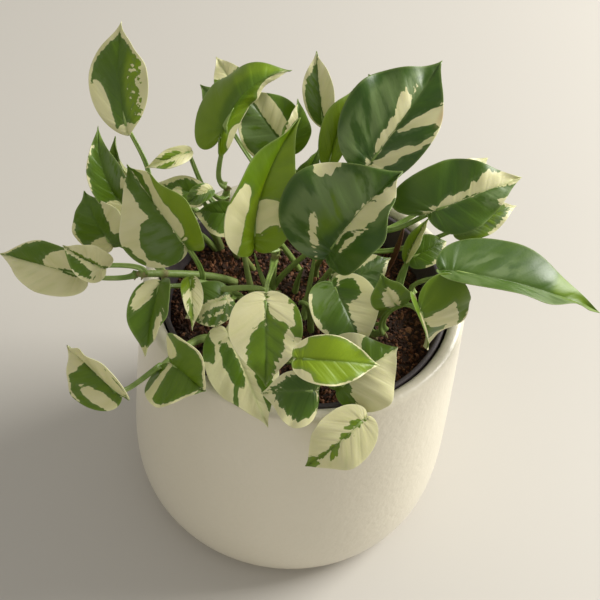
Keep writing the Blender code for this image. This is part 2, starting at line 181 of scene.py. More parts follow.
class Tree:
    """A Geometry Nodes tree being made, with named inputs."""

    def __init__(self, name, **inputs):
        self.group = bpy.data.node_groups.new(name, "GeometryNodeTree")
        for socket, kind in inputs.items():
            self.group.interface.new_socket(socket, in_out="INPUT", socket_type=f"NodeSocket{kind}")
        self.group.interface.new_socket("Geometry", in_out="OUTPUT", socket_type="NodeSocketGeometry")
        self.given = self.group.nodes.new("NodeGroupInput").outputs
        self.result = self.group.nodes.new("NodeGroupOutput").inputs

    def node(self, kind, settings=None, inputs=None, output=0):
        made = self.group.nodes.new(kind)
        for name, value in (settings or {}).items():
            setattr(made, name, value)
        for name, value in (inputs or {}).items():
            if isinstance(value, bpy.types.NodeSocket):
                self.group.links.new(value, made.inputs[name])
            else:
                made.inputs[name].default_value = value
        return made.outputs[output]

    def math(self, operation, *values):
        return self.node("ShaderNodeMath", {"operation": operation}, dict(enumerate(values)))

    def end(self, geometry, finish):
        """Makes everything real and gives it its material, as the tree's result."""
        real = self.node("GeometryNodeRealizeInstances", None, {"Geometry": geometry})
        coat = {"Geometry": real, "Material": finish}
        self.group.links.new(self.node("GeometryNodeSetMaterial", None, coat), self.result[0])

    def run(self, name, mesh, **values):
        """The plain mesh that the tree makes from this mesh and these inputs, as a piece."""
        carrier = add_piece(f"{name}_carrier", mesh)
        modifier = carrier.modifiers.new(name, "NODES")
        modifier.node_group = self.group
        for item in self.group.interface.items_tree:
            if item.in_out == "INPUT" and item.name in values:
                modifier[item.identifier] = values[item.name]
        carrier.update_tag()
        evaluated = carrier.evaluated_get(bpy.context.evaluated_depsgraph_get())
        made = bpy.data.meshes.new_from_object(evaluated)
        made.name = name
        bpy.data.objects.remove(carrier)
        return add_piece(name, made)


def turning_tree():
    """Turns a section, a line of vertices at (radius, 0, height), about Z into a closed wall."""
    tree = Tree("turned_wall", Section="Object", Rows="Int", Steps="Int", Finish="Material")
    section, rows, steps, finish = (tree.given[n] for n in ("Section", "Rows", "Steps", "Finish"))
    sizes = {"Vertices X": tree.math("ADD", steps, 1.0), "Vertices Y": rows}
    grid = tree.node("GeometryNodeMeshGrid", None, sizes)
    index = tree.node("GeometryNodeInputIndex")
    row = tree.math("MODULO", index, rows)
    column = tree.math("FLOOR", tree.math("DIVIDE", index, rows))
    angle = tree.math("MULTIPLY", tree.math("DIVIDE", column, steps), math.tau)
    shape = tree.node("GeometryNodeObjectInfo", None, {"Object": section}, output="Geometry")
    place = tree.node("GeometryNodeInputPosition")
    at_row = {"Geometry": shape, "Value": place, "Index": row}
    picked = tree.node("GeometryNodeSampleIndex", {"data_type": "FLOAT_VECTOR"}, at_row)
    turn = {"Vector": picked, "Angle": angle}
    turned = tree.node("ShaderNodeVectorRotate", {"rotation_type": "Z_AXIS"}, turn)
    moved = tree.node("GeometryNodeSetPosition", None, {"Geometry": grid, "Position": turned})
    closed = tree.node("GeometryNodeMergeByDistance", None, {"Geometry": moved, "Distance": CLOSE_GAP})
    soft = tree.node("GeometryNodeSetShadeSmooth", None, {"Geometry": closed})
    tree.end(soft, finish)
    return tree


TURNING = turning_tree()


def turned_piece(name, section, finish):
    """A piece turned about Z from its section, a list of (radius, height) that ends on the axis."""
    line = bpy.data.meshes.new(f"{name}_section")
    line.from_pydata([(r * MM, 0, z * MM) for r, z in section], [], [])
    shape = add_piece(f"{name}_section", line)
    carrier = bpy.data.meshes.new(f"{name}_carrier")
    piece = TURNING.run(
        name, carrier, Section=shape, Rows=len(section), Steps=TURN_STEPS, Finish=finish
    )
    bpy.data.objects.remove(shape)
    return piece


def rounded(corner, towards, radius, steps=5):
    """Points on an arc of about this radius that softens a corner between two neighbours."""
    corner, before, after = (Vector(p) for p in (corner, *towards))
    start = corner + (before - corner).normalized() * radius
    end = corner + (after - corner).normalized() * radius
    return [
        tuple(start.lerp(corner, t).lerp(corner.lerp(end, t), t))
        for t in (i / steps for i in range(steps + 1))
    ]


def cover_radius(z):
    """Outer radius of the cover pot: a soft corner up to the belly, then a slow taper to the rim."""
    if z < COVER_BELLY_HEIGHT:
        rise = 1 - (1 - z / COVER_BELLY_HEIGHT) ** COVER_CORNER_POWER
        wide = COVER_BELLY_RADIUS - COVER_BASE_RADIUS
        return COVER_BASE_RADIUS + wide * rise ** (1 / COVER_CORNER_POWER)
    share = (z - COVER_BELLY_HEIGHT) / (COVER_HEIGHT - COVER_BELLY_HEIGHT)
    return COVER_BELLY_RADIUS - (COVER_BELLY_RADIUS - COVER_RIM_RADIUS) * share**COVER_SHOULDER_POWER


def cover_section():
    ring = COVER_BASE_RADIUS - FOOT_RING_WIDTH
    section = [(0, FOOT_GROOVE_DEPTH), (ring - 2, FOOT_GROOVE_DEPTH), (ring - 0.8, 0.6), (ring, 0)]
    section += [(COVER_BASE_RADIUS - 1.5, 0)]
    steps = range(1, SIDE_STEPS + 1)
    corner = [COVER_BELLY_HEIGHT * (1 - math.cos(math.pi / 2 * i / SIDE_STEPS)) for i in steps]
    top = COVER_HEIGHT - COVER_WALL / 2
    side = [COVER_BELLY_HEIGHT + (top - COVER_BELLY_HEIGHT) * i / SIDE_STEPS for i in steps]
    section += [(cover_radius(z), z) for z in corner + side]
    middle = cover_radius(top) - COVER_WALL / 2
    lift = COVER_HEIGHT - top
    for i in range(1, RIM_STEPS):
        angle = math.pi * i / RIM_STEPS
        section.append((middle + COVER_WALL / 2 * math.cos(angle), top + lift * math.sin(angle)))
    low = COVER_FLOOR + COVER_INNER_CORNER
    inner = [top + (low - top) * i / RIM_STEPS for i in range(RIM_STEPS + 1)]
    section += [(cover_radius(z) - COVER_WALL, z) for z in inner]
    wide = cover_radius(low) - COVER_WALL
    for i in range(1, INNER_CORNER_STEPS):
        angle = math.pi / 2 * i / INNER_CORNER_STEPS
        inset = COVER_INNER_CORNER * 0.8 * (1 - math.cos(angle))
        section.append((wide - inset, COVER_FLOOR + COVER_INNER_CORNER * (1 - math.sin(angle))))
    return section + [(wide - COVER_INNER_CORNER * 0.9, COVER_FLOOR), (0, COVER_FLOOR)]


def glaze_finish():
    """Cream satin glaze: a soft orange peel, faint clouds, and tiny iron specks in the cream."""
    cream = Finish("cream_glaze", IOR=1.52, Coat_Roughness=0.22)
    place = cream.node("ShaderNodeTexCoord").outputs["Object"]
    clouds = cream.noise(place, 18.0, 3.0)
    specks = cream.field("ShaderNodeTexVoronoi", None, {"Vector": place, "Scale": 420.0})
    rare = cream.noise(place, 90.0).step(0.25, 0.45)
    speck = (1.0 - specks.step(0.08, 0.16)) * rare * 0.30
    height = cream.field("ShaderNodeSeparateXYZ", None, {0: place}, output=2)
    bare = 1.0 - height.step(0.0005, 0.0016)
    colour = cream.mix(clouds * 0.5 + 0.5, (0.76, 0.70, 0.545), (0.80, 0.745, 0.60))
    colour = cream.mix(speck, colour, (0.42, 0.33, 0.22))
    colour = cream.mix(bare * 0.8, colour, (0.70, 0.58, 0.43))
    peel = cream.noise(place, 260.0, 2.0) * 0.6 + cream.noise(place, 45.0) * 0.4
    roughness = clouds * 0.04 + 0.36 + bare * 0.4
    gloss = 0.35 - bare * 0.35
    return cream.finish(colour, roughness, peel, 0.00025, **{"Coat Weight": gloss})


cover = turned_piece("ceramic_cover_pot", cover_section(), glaze_finish())
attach(cover, "root")
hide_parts("cover_pot")


# --- Nursery pot -----------------------------------------------------------------------------------
# The thin black-brown pot the plant was sold in, injection moulded in recycled polypropylene. It has
# a turned-out lip, a stacking step below it and drain holes, and stands loose on the cover pot's floor.

NURSERY_BASE_RADIUS = 53.0
NURSERY_TOP_RADIUS = 70.4
NURSERY_TOP = 147.0
NURSERY_WALL = 1.2
NURSERY_FLOOR = 1.6
NURSERY_GAP = 0.3
LIP_OUT = 1.4
LIP_DEPTH = 5.0
# Its section from the outer edge over to the inner one: out from the wall, and down from the top.
LIP_CURVE = ((1.4, 0.9), (1.1, 0.3), (0.5, 0.0), (-0.4, 0.0), (-0.9, 0.2), (-1.2, 0.8))
DRAIN_HOLES = 6
DRAIN_RADIUS = 4.0
DRAIN_CIRCLE = 36.0
DRAIN_TURN = 0.1
DRAIN_SIDES = 28
DRILL_FROM, DRILL_TO = COVER_FLOOR - 3, COVER_FLOOR + 6
FOOT_ROUND = 1.5
WALL_STEPS = 12


def nursery_radius(z):
    """Outer radius of the nursery pot's straight tapered wall."""
    low = COVER_FLOOR + NURSERY_GAP
    share = (z - low) / (NURSERY_TOP - low)
    return NURSERY_BASE_RADIUS + (NURSERY_TOP_RADIUS - NURSERY_BASE_RADIUS) * share


def nursery_section():
    low = COVER_FLOOR + NURSERY_GAP
    lip = NURSERY_TOP - LIP_DEPTH
    inside = low + NURSERY_FLOOR
    top = nursery_radius(NURSERY_TOP)
    foot = rounded((NURSERY_BASE_RADIUS, low), ((0, low), (nursery_radius(lip), lip)), FOOT_ROUND)
    heights = [low + (lip - low) * i / WALL_STEPS for i in range(1, WALL_STEPS + 1)]
    wall = [(nursery_radius(z), z) for z in heights]
    edge = [(nursery_radius(lip) + LIP_OUT - 0.3, lip), (nursery_radius(lip) + LIP_OUT, lip + 0.3)]
    edge += [(top + out, NURSERY_TOP - down) for out, down in LIP_CURVE]
    lining = [(nursery_radius(z) - NURSERY_WALL, z) for z in np.linspace(NURSERY_TOP - 2, inside + 1, 14)]
    lining += [(nursery_radius(inside) - NURSERY_WALL - 1, inside)]
    return [(0, low)] + foot + wall + edge + lining + [(0, inside)]


def nursery_finish():
    """Matt recycled plastic, dark purple-brown, with fine moulding grain and dried splashes."""
    dark = Finish("nursery_plastic", IOR=1.49)
    place = dark.node("ShaderNodeTexCoord").outputs["Object"]
    clouds = dark.noise(place, 30.0, 3.0)
    dust = dark.noise(place, 70.0, 4.0, 0.6).step(0.1, 0.6)
    colour = dark.mix(clouds * 0.5 + 0.5, (0.062, 0.050, 0.053), (0.088, 0.072, 0.076))
    colour = dark.mix(dust * 0.35, colour, (0.13, 0.10, 0.09))
    grain = dark.noise(place, 900.0, 2.0)
    return dark.finish(colour, clouds * 0.05 + 0.52 + dust * 0.2, grain, 0.00012)


nursery = turned_piece("plastic_nursery_pot", nursery_section(), nursery_finish())


def drain_cutters():
    """One mesh of upright pegs, one for each drain hole."""
    verts, faces = [], []
    sides = DRAIN_SIDES
    for hole in range(DRAIN_HOLES):
        angle = math.tau * (hole + DRAIN_TURN) / DRAIN_HOLES
        centre = Vector((math.cos(angle), math.sin(angle))) * DRAIN_CIRCLE
        first = len(verts)
        for z in (DRILL_FROM, DRILL_TO):
            for k in range(sides):
                turn = math.tau * k / sides
                x = centre.x + DRAIN_RADIUS * math.cos(turn)
                y = centre.y + DRAIN_RADIUS * math.sin(turn)
                verts.append((x * MM, y * MM, z * MM))
        for k in range(sides):
            j = (k + 1) % sides
            faces.append((first + k, first + j, first + sides + j, first + sides + k))
        faces.append([first + k for k in reversed(range(sides))])
        faces.append([first + sides + k for k in range(sides)])
    mesh = bpy.data.meshes.new("drain_cutters")
    mesh.from_pydata(verts, [], faces)
    return add_piece("drain_cutters", mesh)


pegs = drain_cutters()
drill = nursery.modifiers.new("drain holes", "BOOLEAN")
drill.operation = "DIFFERENCE"
drill.solver = "EXACT"
drill.object = pegs
drilled = nursery.evaluated_get(bpy.context.evaluated_depsgraph_get())
drilled = bpy.data.meshes.new_from_object(drilled)
nursery.modifiers.clear()
nursery.data = drilled
bpy.data.objects.remove(pegs)
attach(nursery, "root")
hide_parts("nursery_pot")


# --- Soil ------------------------------------------------------------------------------------------
# Moist potting mix of peat, coir and bark, filled to a finger's width below the lip and watered down.
# Its body is turned like the pots; the loose top is thousands of crumbs and bark chips lying on it.

SOIL_TOP = 130.0
SOIL_GAP = 0.3
SOIL_RELIEF = 1.2
SOIL_RINGS = 34
SOIL_SEED = 7
CRUMBS_PER_M2 = 330000.0
CHIPS_PER_M2 = 42000.0
CRUMB_SIZE, CRUMB_FLATNESS = 1.02, 0.8
CHIP_SIZE, CHIP_FLATNESS = 1.55, 0.42


def soil_lift(x, y):
    """Height in millimetres of the soil's top over its level: long waves, small hollows and lumps."""
    long_waves = math.sin(x / 9) * math.cos(y / 11) + math.sin((x + y) / 17)
    lumps = 0.5 * math.sin(x / 2.9 + 1.3 * math.sin(y / 3.7)) * math.cos(y / 3.1)
    return SOIL_RELIEF * (0.8 * long_waves + lumps)


def soil_section():
    low = COVER_FLOOR + 2 * NURSERY_GAP + NURSERY_FLOOR
    inset = NURSERY_WALL + SOIL_GAP
    edge = nursery_radius(SOIL_TOP) - inset
    section = [(0, low), (nursery_radius(low) - inset, low)]
    section += [(nursery_radius(z) - inset, z) for z in np.linspace(low + 20, SOIL_TOP - 1.5, 6)]
    section += [(edge - 0.5, SOIL_TOP - 0.6)]
    return section + [(edge * (1 - i / SOIL_RINGS), SOIL_TOP) for i in range(1, SOIL_RINGS + 1)]


def soil_finish():
    """Dark brown mix: each crumb has its own shade, from black-brown peat to reddish bark."""
    mix = Finish("potting_mix", IOR=1.4)
    place = mix.node("ShaderNodeTexCoord").outputs["Object"]
    shade = mix.attribute("shade")
    grains = mix.noise(place, 700.0, 4.0, 0.6)
    damp = mix.noise(place, 28.0, 2.0).step(-0.3, 0.5)
    tone = (shade + grains * 0.22).max(0.0)
    colour = mix.mix(tone.step(0.1, 0.75), (0.040, 0.019, 0.011), (0.185, 0.074, 0.036))
    colour = mix.mix(tone.step(0.70, 1.0), colour, (0.34, 0.155, 0.075))
    colour = mix.mix(damp * 0.35, colour, (0.030, 0.014, 0.010))
    roughness = 0.92 - damp * 0.22
    return mix.finish(colour, roughness, grains, 0.0004)


def crumb_piece(name, seed, size, flat):
    """One loose crumb: a lump of a few dozen faces, pushed out of shape by a fixed draw."""
    draw = np.random.default_rng(seed)
    corners = [(x, y, z) for x in (-1, 0, 1) for y in (-1, 0, 1) for z in (-1, 0, 1)]
    corners = np.array([c for c in corners if np.abs(c).sum() in (1, 3)], float)
    points = corners / np.linalg.norm(corners, axis=1)[:, None]
    points *= 1 + 0.28 * draw.uniform(-1, 1, (len(points), 1))
    points *= np.array([1.25, 0.9, flat])
    mesh = bpy.data.meshes.new(name)
    mesh.from_pydata([tuple(p * size * MM) for p in points], [], [])
    tree = Tree(f"{name}_hull", Points="Geometry", Finish="Material")
    hull = tree.node("GeometryNodeConvexHull", None, {0: tree.given["Points"]})
    tree.end(hull, tree.given["Finish"])
    return tree.run(f"{name}_lump", mesh, Finish=mix_finish)


def crumbs_tree():
    """Scatters crumbs and bark chips over the flat top of the soil, each with its own shade."""
    tree = Tree(
        "loose_top", Soil="Geometry", Crumb="Object", Chip="Object", Level="Float",
        Crumbs="Float", Chips="Float", Seed="Int", Finish="Material",
    )
    soil_given, level, seed = (tree.given[n] for n in ("Soil", "Level", "Seed"))
    split = {"Vector": tree.node("GeometryNodeInputPosition")}
    height = tree.node("ShaderNodeSeparateXYZ", None, split, output=2)
    on_top = tree.math("GREATER_THAN", height, level)
    joined = [soil_given]

    def drawn(kind, low, high, seed):
        """A fixed draw for each crumb, a number or a turn."""
        slots, output = {"FLOAT": ((2, 3), 1), "FLOAT_VECTOR": ((0, 1), 0)}[kind]
        values = {slots[0]: low, slots[1]: high, "Seed": seed}
        return tree.node("FunctionNodeRandomValue", {"data_type": kind}, values, output)

    kinds = (("Crumb", "Crumbs", 0, 0.55, 1.35), ("Chip", "Chips", 40, 0.5, 1.5))
    for piece, density, offset, least, most in kinds:
        inputs = {
            "Mesh": soil_given, "Selection": on_top, "Density": tree.given[density],
            "Seed": tree.math("ADD", seed, float(offset)),
        }
        spots = tree.node("GeometryNodeDistributePointsOnFaces", None, inputs)
        shape = tree.node("GeometryNodeObjectInfo", None, {"Object": tree.given[piece]}, "Geometry")
        draws = SOIL_SEED + offset
        inputs = {
            "Points": spots, "Instance": shape,
            "Rotation": drawn("FLOAT_VECTOR", (0, 0, 0), (math.tau,) * 3, draws + 1),
            "Scale": drawn("FLOAT", least, most, draws + 2),
        }
        placed = tree.node("GeometryNodeInstanceOnPoints", None, inputs)
        settings = {"data_type": "FLOAT", "domain": "INSTANCE"}
        shade = {"Geometry": placed, "Name": "shade", "Value": drawn("FLOAT", 0.0, 1.0, draws + 3)}
        shaded = tree.node("GeometryNodeStoreNamedAttribute", settings, shade)
        joined.append(tree.node("GeometryNodeRealizeInstances", None, {"Geometry": shaded}))
    join = tree.group.nodes.new("GeometryNodeJoinGeometry")
    for part in reversed(joined):
        tree.group.links.new(part, join.inputs[0])
    tree.end(join.outputs[0], tree.given["Finish"])
    return tree


mix_finish = soil_finish()
bed = turned_piece("soil_bed", soil_section(), mix_finish)
edge_of_soil = nursery_radius(SOIL_TOP) - NURSERY_WALL - SOIL_GAP
for vert in bed.data.vertices:
    x, y, z = vert.co / MM
    reach = math.hypot(x, y)
    if z > SOIL_TOP - 0.1:
        vert.co.z += soil_lift(x, y) * min(1, (edge_of_soil - reach) / 4) * MM
crumb = crumb_piece("crumb", 3, CRUMB_SIZE, CRUMB_FLATNESS)
chip = crumb_piece("bark_chip", 5, CHIP_SIZE, CHIP_FLATNESS)
soil = crumbs_tree().run(
    "potting_mix_top", bed.data, Crumb=crumb, Chip=chip, Level=(SOIL_TOP - 2.5) * MM,
    Crumbs=CRUMBS_PER_M2, Chips=CHIPS_PER_M2, Seed=SOIL_SEED, Finish=mix_finish,
)
for used in (bed, crumb, chip):
    bpy.data.objects.remove(used)
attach(soil, "root")
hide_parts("soil")


# --- Vines and their leaves ------------------------------------------------------------------------
# Each vine is a short green stem rooted in the mix, with a ring at each node. A leaf is one piece:
# a grooved stalk that clasps the stem, and a waxy heart-shaped blade, green with cream sectors whose
# edges break up along the side veins.

STEM_RADIUS = 2.3
STEM_TAPER = 0.3
STEM_SIDES = 20
STEM_RINGS = 90
NODE_SWELL = 0.2
NODE_LENGTH = 1.6
STALK_RADIUS = 1.25
STALK_SIDES = 18
STALK_RINGS = 30
BLADE_THICKNESS = 0.55
BLADE_ROWS = 60
BLADE_SPLITS = (0.02, 0.05, 0.09, 0.15, 0.22, 0.3, 0.39, 0.48, 0.57, 0.66, 0.75, 0.83, 0.9, 0.95, 0.985, 1)
LOBE_SHARE = 0.35
LOBE_RIB = 0.105
SIDE_VEINS = 9
GROOVE_WIDTH, GROOVE_DEPTH = 0.7, 0.28
RIB_WIDTH, RIB_HEIGHT = 0.9, 0.55
PAINTED_RIM_WIDTH, MARGIN_THINNING = 0.8, 0.5
SEED_STEP = 0.37
NO_VEINS = (0.5, 0.5)
ALL_GREEN = -6.0
FLECK_DEPTH = -0.8

LEFT, BOTH, RIGHT = -1, 0, 1


def leaf(share, base, tip, face, width, tone=0.45, zones=(), ragged=0.6, wing=0.15, **shape):
    """One leaf: its place along the stem, its blade from base to tip, the way it faces, its paint."""
    blade = {"base": base, "tip": tip, "face": face, "width": width, **shape}
    return {"share": share, "blade": blade, "tone": tone, "zones": zones, "ragged": ragged, "wing": wing}


# A zone is (paint, along, across, length, breadth) and then, if it needs them, the side of the midrib
# that it keeps to and its turn in degrees. Along runs from 0 at the stalk to 1 at the tip, across from
# -1 at the left margin to 1 at the right one, looking from stalk to tip. An edge zone is
# ("cream edge" or "green edge", from, to, depth in millimetres, side).
# Each vine is given as its stem's four guide points and then its leaves.
# Grey-green zones are partly the leaf's own grey-green and partly painted sheen, where the wax catches the
# light.
VINES = {
    "northwest": (
        ((-46, 38, 118), (-50, 36, 156), (-70, 34, 166), (-84, 32, 174)),
        leaf(1, (-95, 44, 194), (-103, 78, 236), (-0.1, -0.75, 0.62), 30, 0.38,
             (("cream edge", 0, 1, 1.1, BOTH), ("cream", 0, -0.8, 0.5, 0.5, LEFT),
              ("cream", 0.22, 1, 0.62, 0.36, RIGHT), ("fleck", 0.38, 0.55, 0.32, 0.3, RIGHT),
              ("lime", 0.36, 0.7, 0.5, 0.6, RIGHT), ("cream", -0.05, 0, 0.16, 0.5)),
             ragged=0.25, fold=8, arch=-3, sweep=-4, lobe=0, wide=0.48),
        leaf(0.9, (-90, 29, 182), (-98, 31, 204), (-0.6, -0.6, 0.5), 12, 0.7,
             (("cream", 0.15, 0, 0.35, 0.8), ("frost", 0.5, 0.3, 0.3, 0.5)), fold=35, lobe=0.03),
        leaf(0.75, (-87, 7, 178), (-104, 25, 214), (0.2, -0.7, 0.5), 18, 0.4,
             (("frost", 0.5, 0.7, 0.45, 0.5, RIGHT), ("cream", 0.08, -0.5, 0.16, 0.6, LEFT),
              ("cream", 0.1, 0.8, 0.3, 0.4, RIGHT), ("cream edge", 0, 0.8, 0.5, LEFT)),
             fold=20, sweep=-5, lobe=0.08, wide=0.4),
    ),
    "west": (
        ((-30, 20, 118), (-42, 8, 142), (-60, -10, 158), (-80, -19, 164)),
        leaf(0.8, (-94, -5, 166), (-109, 8, 188), (-0.2, -0.7, 0.6), 26, 0.4,
             (("cream edge", 0, 0.6, 1.1, LEFT), ("cream", 0.02, -0.3, 0.2, 0.8, LEFT),
              ("cream", 0.3, 0.9, 0.6, 0.5, RIGHT), ("green", 0.1, 0.5, 0.12, 0.25, RIGHT)),
             fold=8, lobe=0.12, wide=0.42),
        leaf(1, (-102, -28, 168), (-144, -20, 168), (-0.1, -0.6, 0.8), 26, 0.42,
             (("cream", 0.5, -0.6, 0.95, 0.75, LEFT), ("cream", 0.12, 0.5, 0.36, 0.5, RIGHT, -20),
              ("cream edge", 0.5, 1, 0.5, RIGHT), ("green", 0.12, 0.02, 0.14, 0.12)),
             ragged=0.3, fold=(10, 40), arch=3, wide=0.4),
        leaf(0.95, (-93, -25, 172), (-112, -23, 182), (-0.1, -0.7, 0.7), 18, 0.4,
             (("cream", 0.4, 0, 0.9, 1.2), ("green", 0.55, -0.5, 0.4, 0.3, LEFT, 12),
              ("green", 0.4, 0.05, 0.5, 0.09), ("lime", 0.4, 0.4, 0.6, 0.6, RIGHT)), fold=25),
    ),
    "middle_left": (
        ((-24, 4, 118), (-32, -2, 140), (-42, -10, 152), (-50, -14, 156)),
        leaf(1, (-56, -15, 181), (-88, 10, 206), (0.05, -0.7, 0.75), 48, 0.42,
             (("cream", 0.4, -0.7, 1.1, 0.95, LEFT), ("green", 0.2, -0.3, 0.25, 0.42, LEFT, 14),
              ("green", 0.62, -0.06, 0.5, 0.2, LEFT, 3), ("green", -0.08, -0.98, 0.4, 0.15, LEFT),
              ("cream", 0.6, 0.08, 0.5, 0.36, RIGHT), ("lime", 0.35, 0.6, 0.6, 0.5, RIGHT),
              ("green", 0.8, 0.02, 0.24, 0.16, RIGHT), ("frost", 0.24, -0.35, 0.2, 0.3, LEFT)),
             ragged=0.7, fold=(2, 60), curl=(15, 0), lobe=0.1, wide=0.3),
        leaf(0.95, (-67, -25, 168), (-68, -61, 156), (-0.1, -0.6, 0.8), 23, 0.42,
             (("cream", 0.2, 0.45, 0.27, 0.3, RIGHT, 20), ("cream", 0.72, -0.62, 0.24, 0.2, LEFT),
              ("cream", 0.95, 0, 0.07, 0.5)), fold=(45, 12), lobe=0.06, wide=0.45),
        leaf(0.7, (-54, -22, 170), (-49, -46, 160), (0.2, -0.6, 0.8), 11, 0.85,
             (("cream", 0.8, 0, 0.5, 1.2), ("cream", 0.4, -0.8, 0.4, 0.5, LEFT),
              ("green", 0.72, 0.2, 0.22, 0.3)), fold=25, lobe=0.03, twist=60, wide=0.4),
        leaf(0.5, (-35, -25, 162), (-54, -36, 156), (0, -0.5, 0.9), 22, 0.4,
             (("cream", 0.45, -0.05, 0.65, 0.22), ("frost", 0.4, -0.6, 0.6, 0.5, LEFT),
              ("fleck", 0.4, -0.6, 0.6, 0.4, LEFT), ("cream edge", 0, 1, 0.6, LEFT)), wide=0.45),
    ),
    "trailing": (
        ((-40, -22, 118), (-43, -34, 150), (-50, -52, 158), (-60, -66, 156)),
        leaf(0.75, (-55, -67, 162), (-38, -77, 158), (0, -0.5, 0.9), 38, 0.55,
             (("cream", 0.08, 0.55, 0.10, 0.9, RIGHT, -6), ("cream edge", 0, 0.85, 1.5, RIGHT),
              ("cream edge", 0.2, 0.95, 1, LEFT), ("cream", 0, -0.5, 0.25, 0.3, LEFT)),
             ragged=0.35, fold=(60, 0), lobe=(0.14, 0.34)),
        leaf(1, (-73, -86, 160), (-99, -71, 172), (0, -0.5, 0.8), 28, 0.55,
             (("cream edge", 0, 1, 1.6, RIGHT), ("cream", 0.6, 0.3, 0.6, 0.6, RIGHT),
              ("cream", 0.95, -0.2, 0.3, 1, LEFT), ("cream", 0.18, -0.5, 0.3, 0.2, LEFT, -10),
              ("cream edge", 0.35, 1, 0.9, LEFT), ("green edge", 0.1, 0.5, 0.5, LEFT)),
             ragged=0.4, fold=(0, 75), wide=0.4),
    ),
    "north_left": (
        ((-34, 34, 118), (-42, 32, 140), (-46, 30, 160), (-44, 31, 180)),
        leaf(1, (-48, 32, 210), (-18, 60, 232), (-0.3, -0.55, 0.75), (23, 12), 0.72,
             (("cream", 0.9, 0.8, 0.34, 0.8, RIGHT), ("cream edge", 0.1, 0.6, 0.6, RIGHT),
              ("cream", 0, 0.8, 0.12, 0.4, RIGHT), ("deep", 0.4, 0, 0.4, 0.25)),
             ragged=0.3, fold=(0, -80), curl=(55, 10), arch=10, sweep=-3, lobe=0.26, wide=0.32),
        leaf(0.6, (-56, 28, 174), (-80, 29, 178), (0, -0.6, 0.8), 15, 0.45,
             (("cream edge", 0, 1, 1.6, BOTH), ("cream", 0.5, -0.3, 0.1, 0.4)), ragged=0.5),
        leaf(0.4, (-37, 16, 176), (-58, 16, 174), (0, -0.6, 0.8), (12, 6), 0.4,
             (("cream edge", 0, 1, 1.8, LEFT),)),
        leaf(0.75, (-61, 29, 202), (-81, 15, 200), (0.1, -0.8, 0.7), 10, 0.75,
             (("cream", 0.5, 0, 0.8, 1.2), ("green", 0.5, 0.35, 0.2, 0.3), ("green", 0.6, -0.5, 0.2, 0.2)),
             fold=30, lobe=0.03, wide=0.45),
        leaf(0.9, (-49, 16, 191), (-61, 8, 186), (0, -0.6, 0.8), 10, 0.45,
             (("frost", 0.5, 0, 0.8, 1), ("cream", 0.2, 0.3, 0.3, 0.4)),
             fold=30, lobe=0.03, wide=0.45),
    ),
    "middle": (
        ((-16, 10, 118), (-17, 6, 136), (-18, 8, 150), (-16, 10, 162)),
        leaf(1, (-26, -7, 178), (-11, 28, 230), (-0.1, -0.75, 0.65), (22, 18), 0.85,
             (("cream", 0.22, -0.72, 0.26, 0.36, LEFT, 12), ("cream", 0.25, 0.3, 0.15, 0.44, RIGHT, 35),
              ("green", 0.08, 0.5, 0.12, 0.3, RIGHT), ("deep", 0.7, -0.6, 0.4, 0.6, LEFT)),
             ragged=0.45,
             fold=(68, 8), sweep=-5, lobe=0.07, wide=0.3),
        leaf(0.8, (-17, -43, 188), (-12, -76, 165), (0.03, -0.7, 0.7), 32, 0.6,
             (("cream", 0.3, 0.7, 0.9, 0.9, RIGHT), ("cream edge", 0, 1, 2.4, RIGHT),
              ("cream", 0.12, -0.36, 0.24, 0.3, LEFT, -14), ("cream", 0.5, -0.6, 0.4, 0.12, LEFT, 6),
              ("cream edge", 0.5, 1, 2.2, LEFT), ("green", 0.66, 0.1, 0.36, 0.4)),
             ragged=1, fold=8, arch=3, lobe=0.08, wide=0.4),
        leaf(0.9, (-14, 29, 184), (-1, 40, 204), (0.4, -0.6, 0.5), 12, 0.5,
             (("cream", 0.1, 0, 0.25, 0.6),), fold=30, lobe=0.03, wide=0.45),
    ),
    "north": (
        ((-4, 46, 118), (-8, 46, 145), (-10, 50, 165), (-8, 52, 180)),
        leaf(0.9, (-18, 50, 192), (-43, 57, 221), (0.1, -0.7, 0.7), 32, 0.4,
             (("frost", 0.4, -0.3, 0.5, 0.6), ("cream", 0.5, 0.3, 0.6, 0.26),
              ("cream edge", 0, 1, 1.2, LEFT)), ragged=0.3, fold=10, wide=0.4),
        leaf(0.8, (-16, 40, 200), (-14, 52, 222), (0.5, -0.7, 0.5), 16, 0.5,
             (("cream", 0.4, -0.4, 0.6, 0.4, LEFT),), fold=15),
        leaf(0.7, (-45, 80, 196), (-59, 92, 212), (0, -0.6, 0.8), 18, 0.6,
             (("cream", 0.9, 0, 0.4, 1.2),)),
        leaf(0.5, (-50, 74, 188), (-65, 78, 204), (0, -0.6, 0.8), 18, 0.35, (("frost", 0.5, 0, 0.4, 0.5),)),
        leaf(1, (0, 54, 205), (-8, 78, 232), (-0.2, -0.7, 0.6), 16, 0.5,
             (("cream", 0.6, 0.75, 0.9, 0.7, RIGHT), ("cream edge", 0, 1, 1.1, LEFT),
              ("frost", 0.55, -0.3, 0.4, 0.5)), ragged=0.3, fold=20, wide=0.45, lobe=0.02),
        leaf(0.6, (4, 30, 198), (12, 60, 226), (-0.3, -0.8, 0.5), 17, 0.8,
             (("frost", 0.6, 0.4, 0.3, 0.4),), fold=30, wide=0.5, lobe=0.02),
        leaf(0.4, (-20, 80, 166), (-34, 106, 138), (0, 0.7, 0.7), 32, 0.45,
             (("cream", 0.4, 0.6, 0.6, 0.4, RIGHT), ("cream edge", 0, 1, 1.2, LEFT),
              ("frost", 0.4, -0.3, 0.4, 0.3)), lobe=0.1, wide=0.4),
        leaf(0.45, (24, 82, 164), (44, 104, 138), (0.2, 0.7, 0.7), 30, 0.5,
             (("cream", 0.5, -0.35, 0.6, 0.25, LEFT, 10), ("cream edge", 0.3, 1, 1.6, RIGHT)),
             lobe=0.1, wide=0.4),
    ),
    "northeast": (
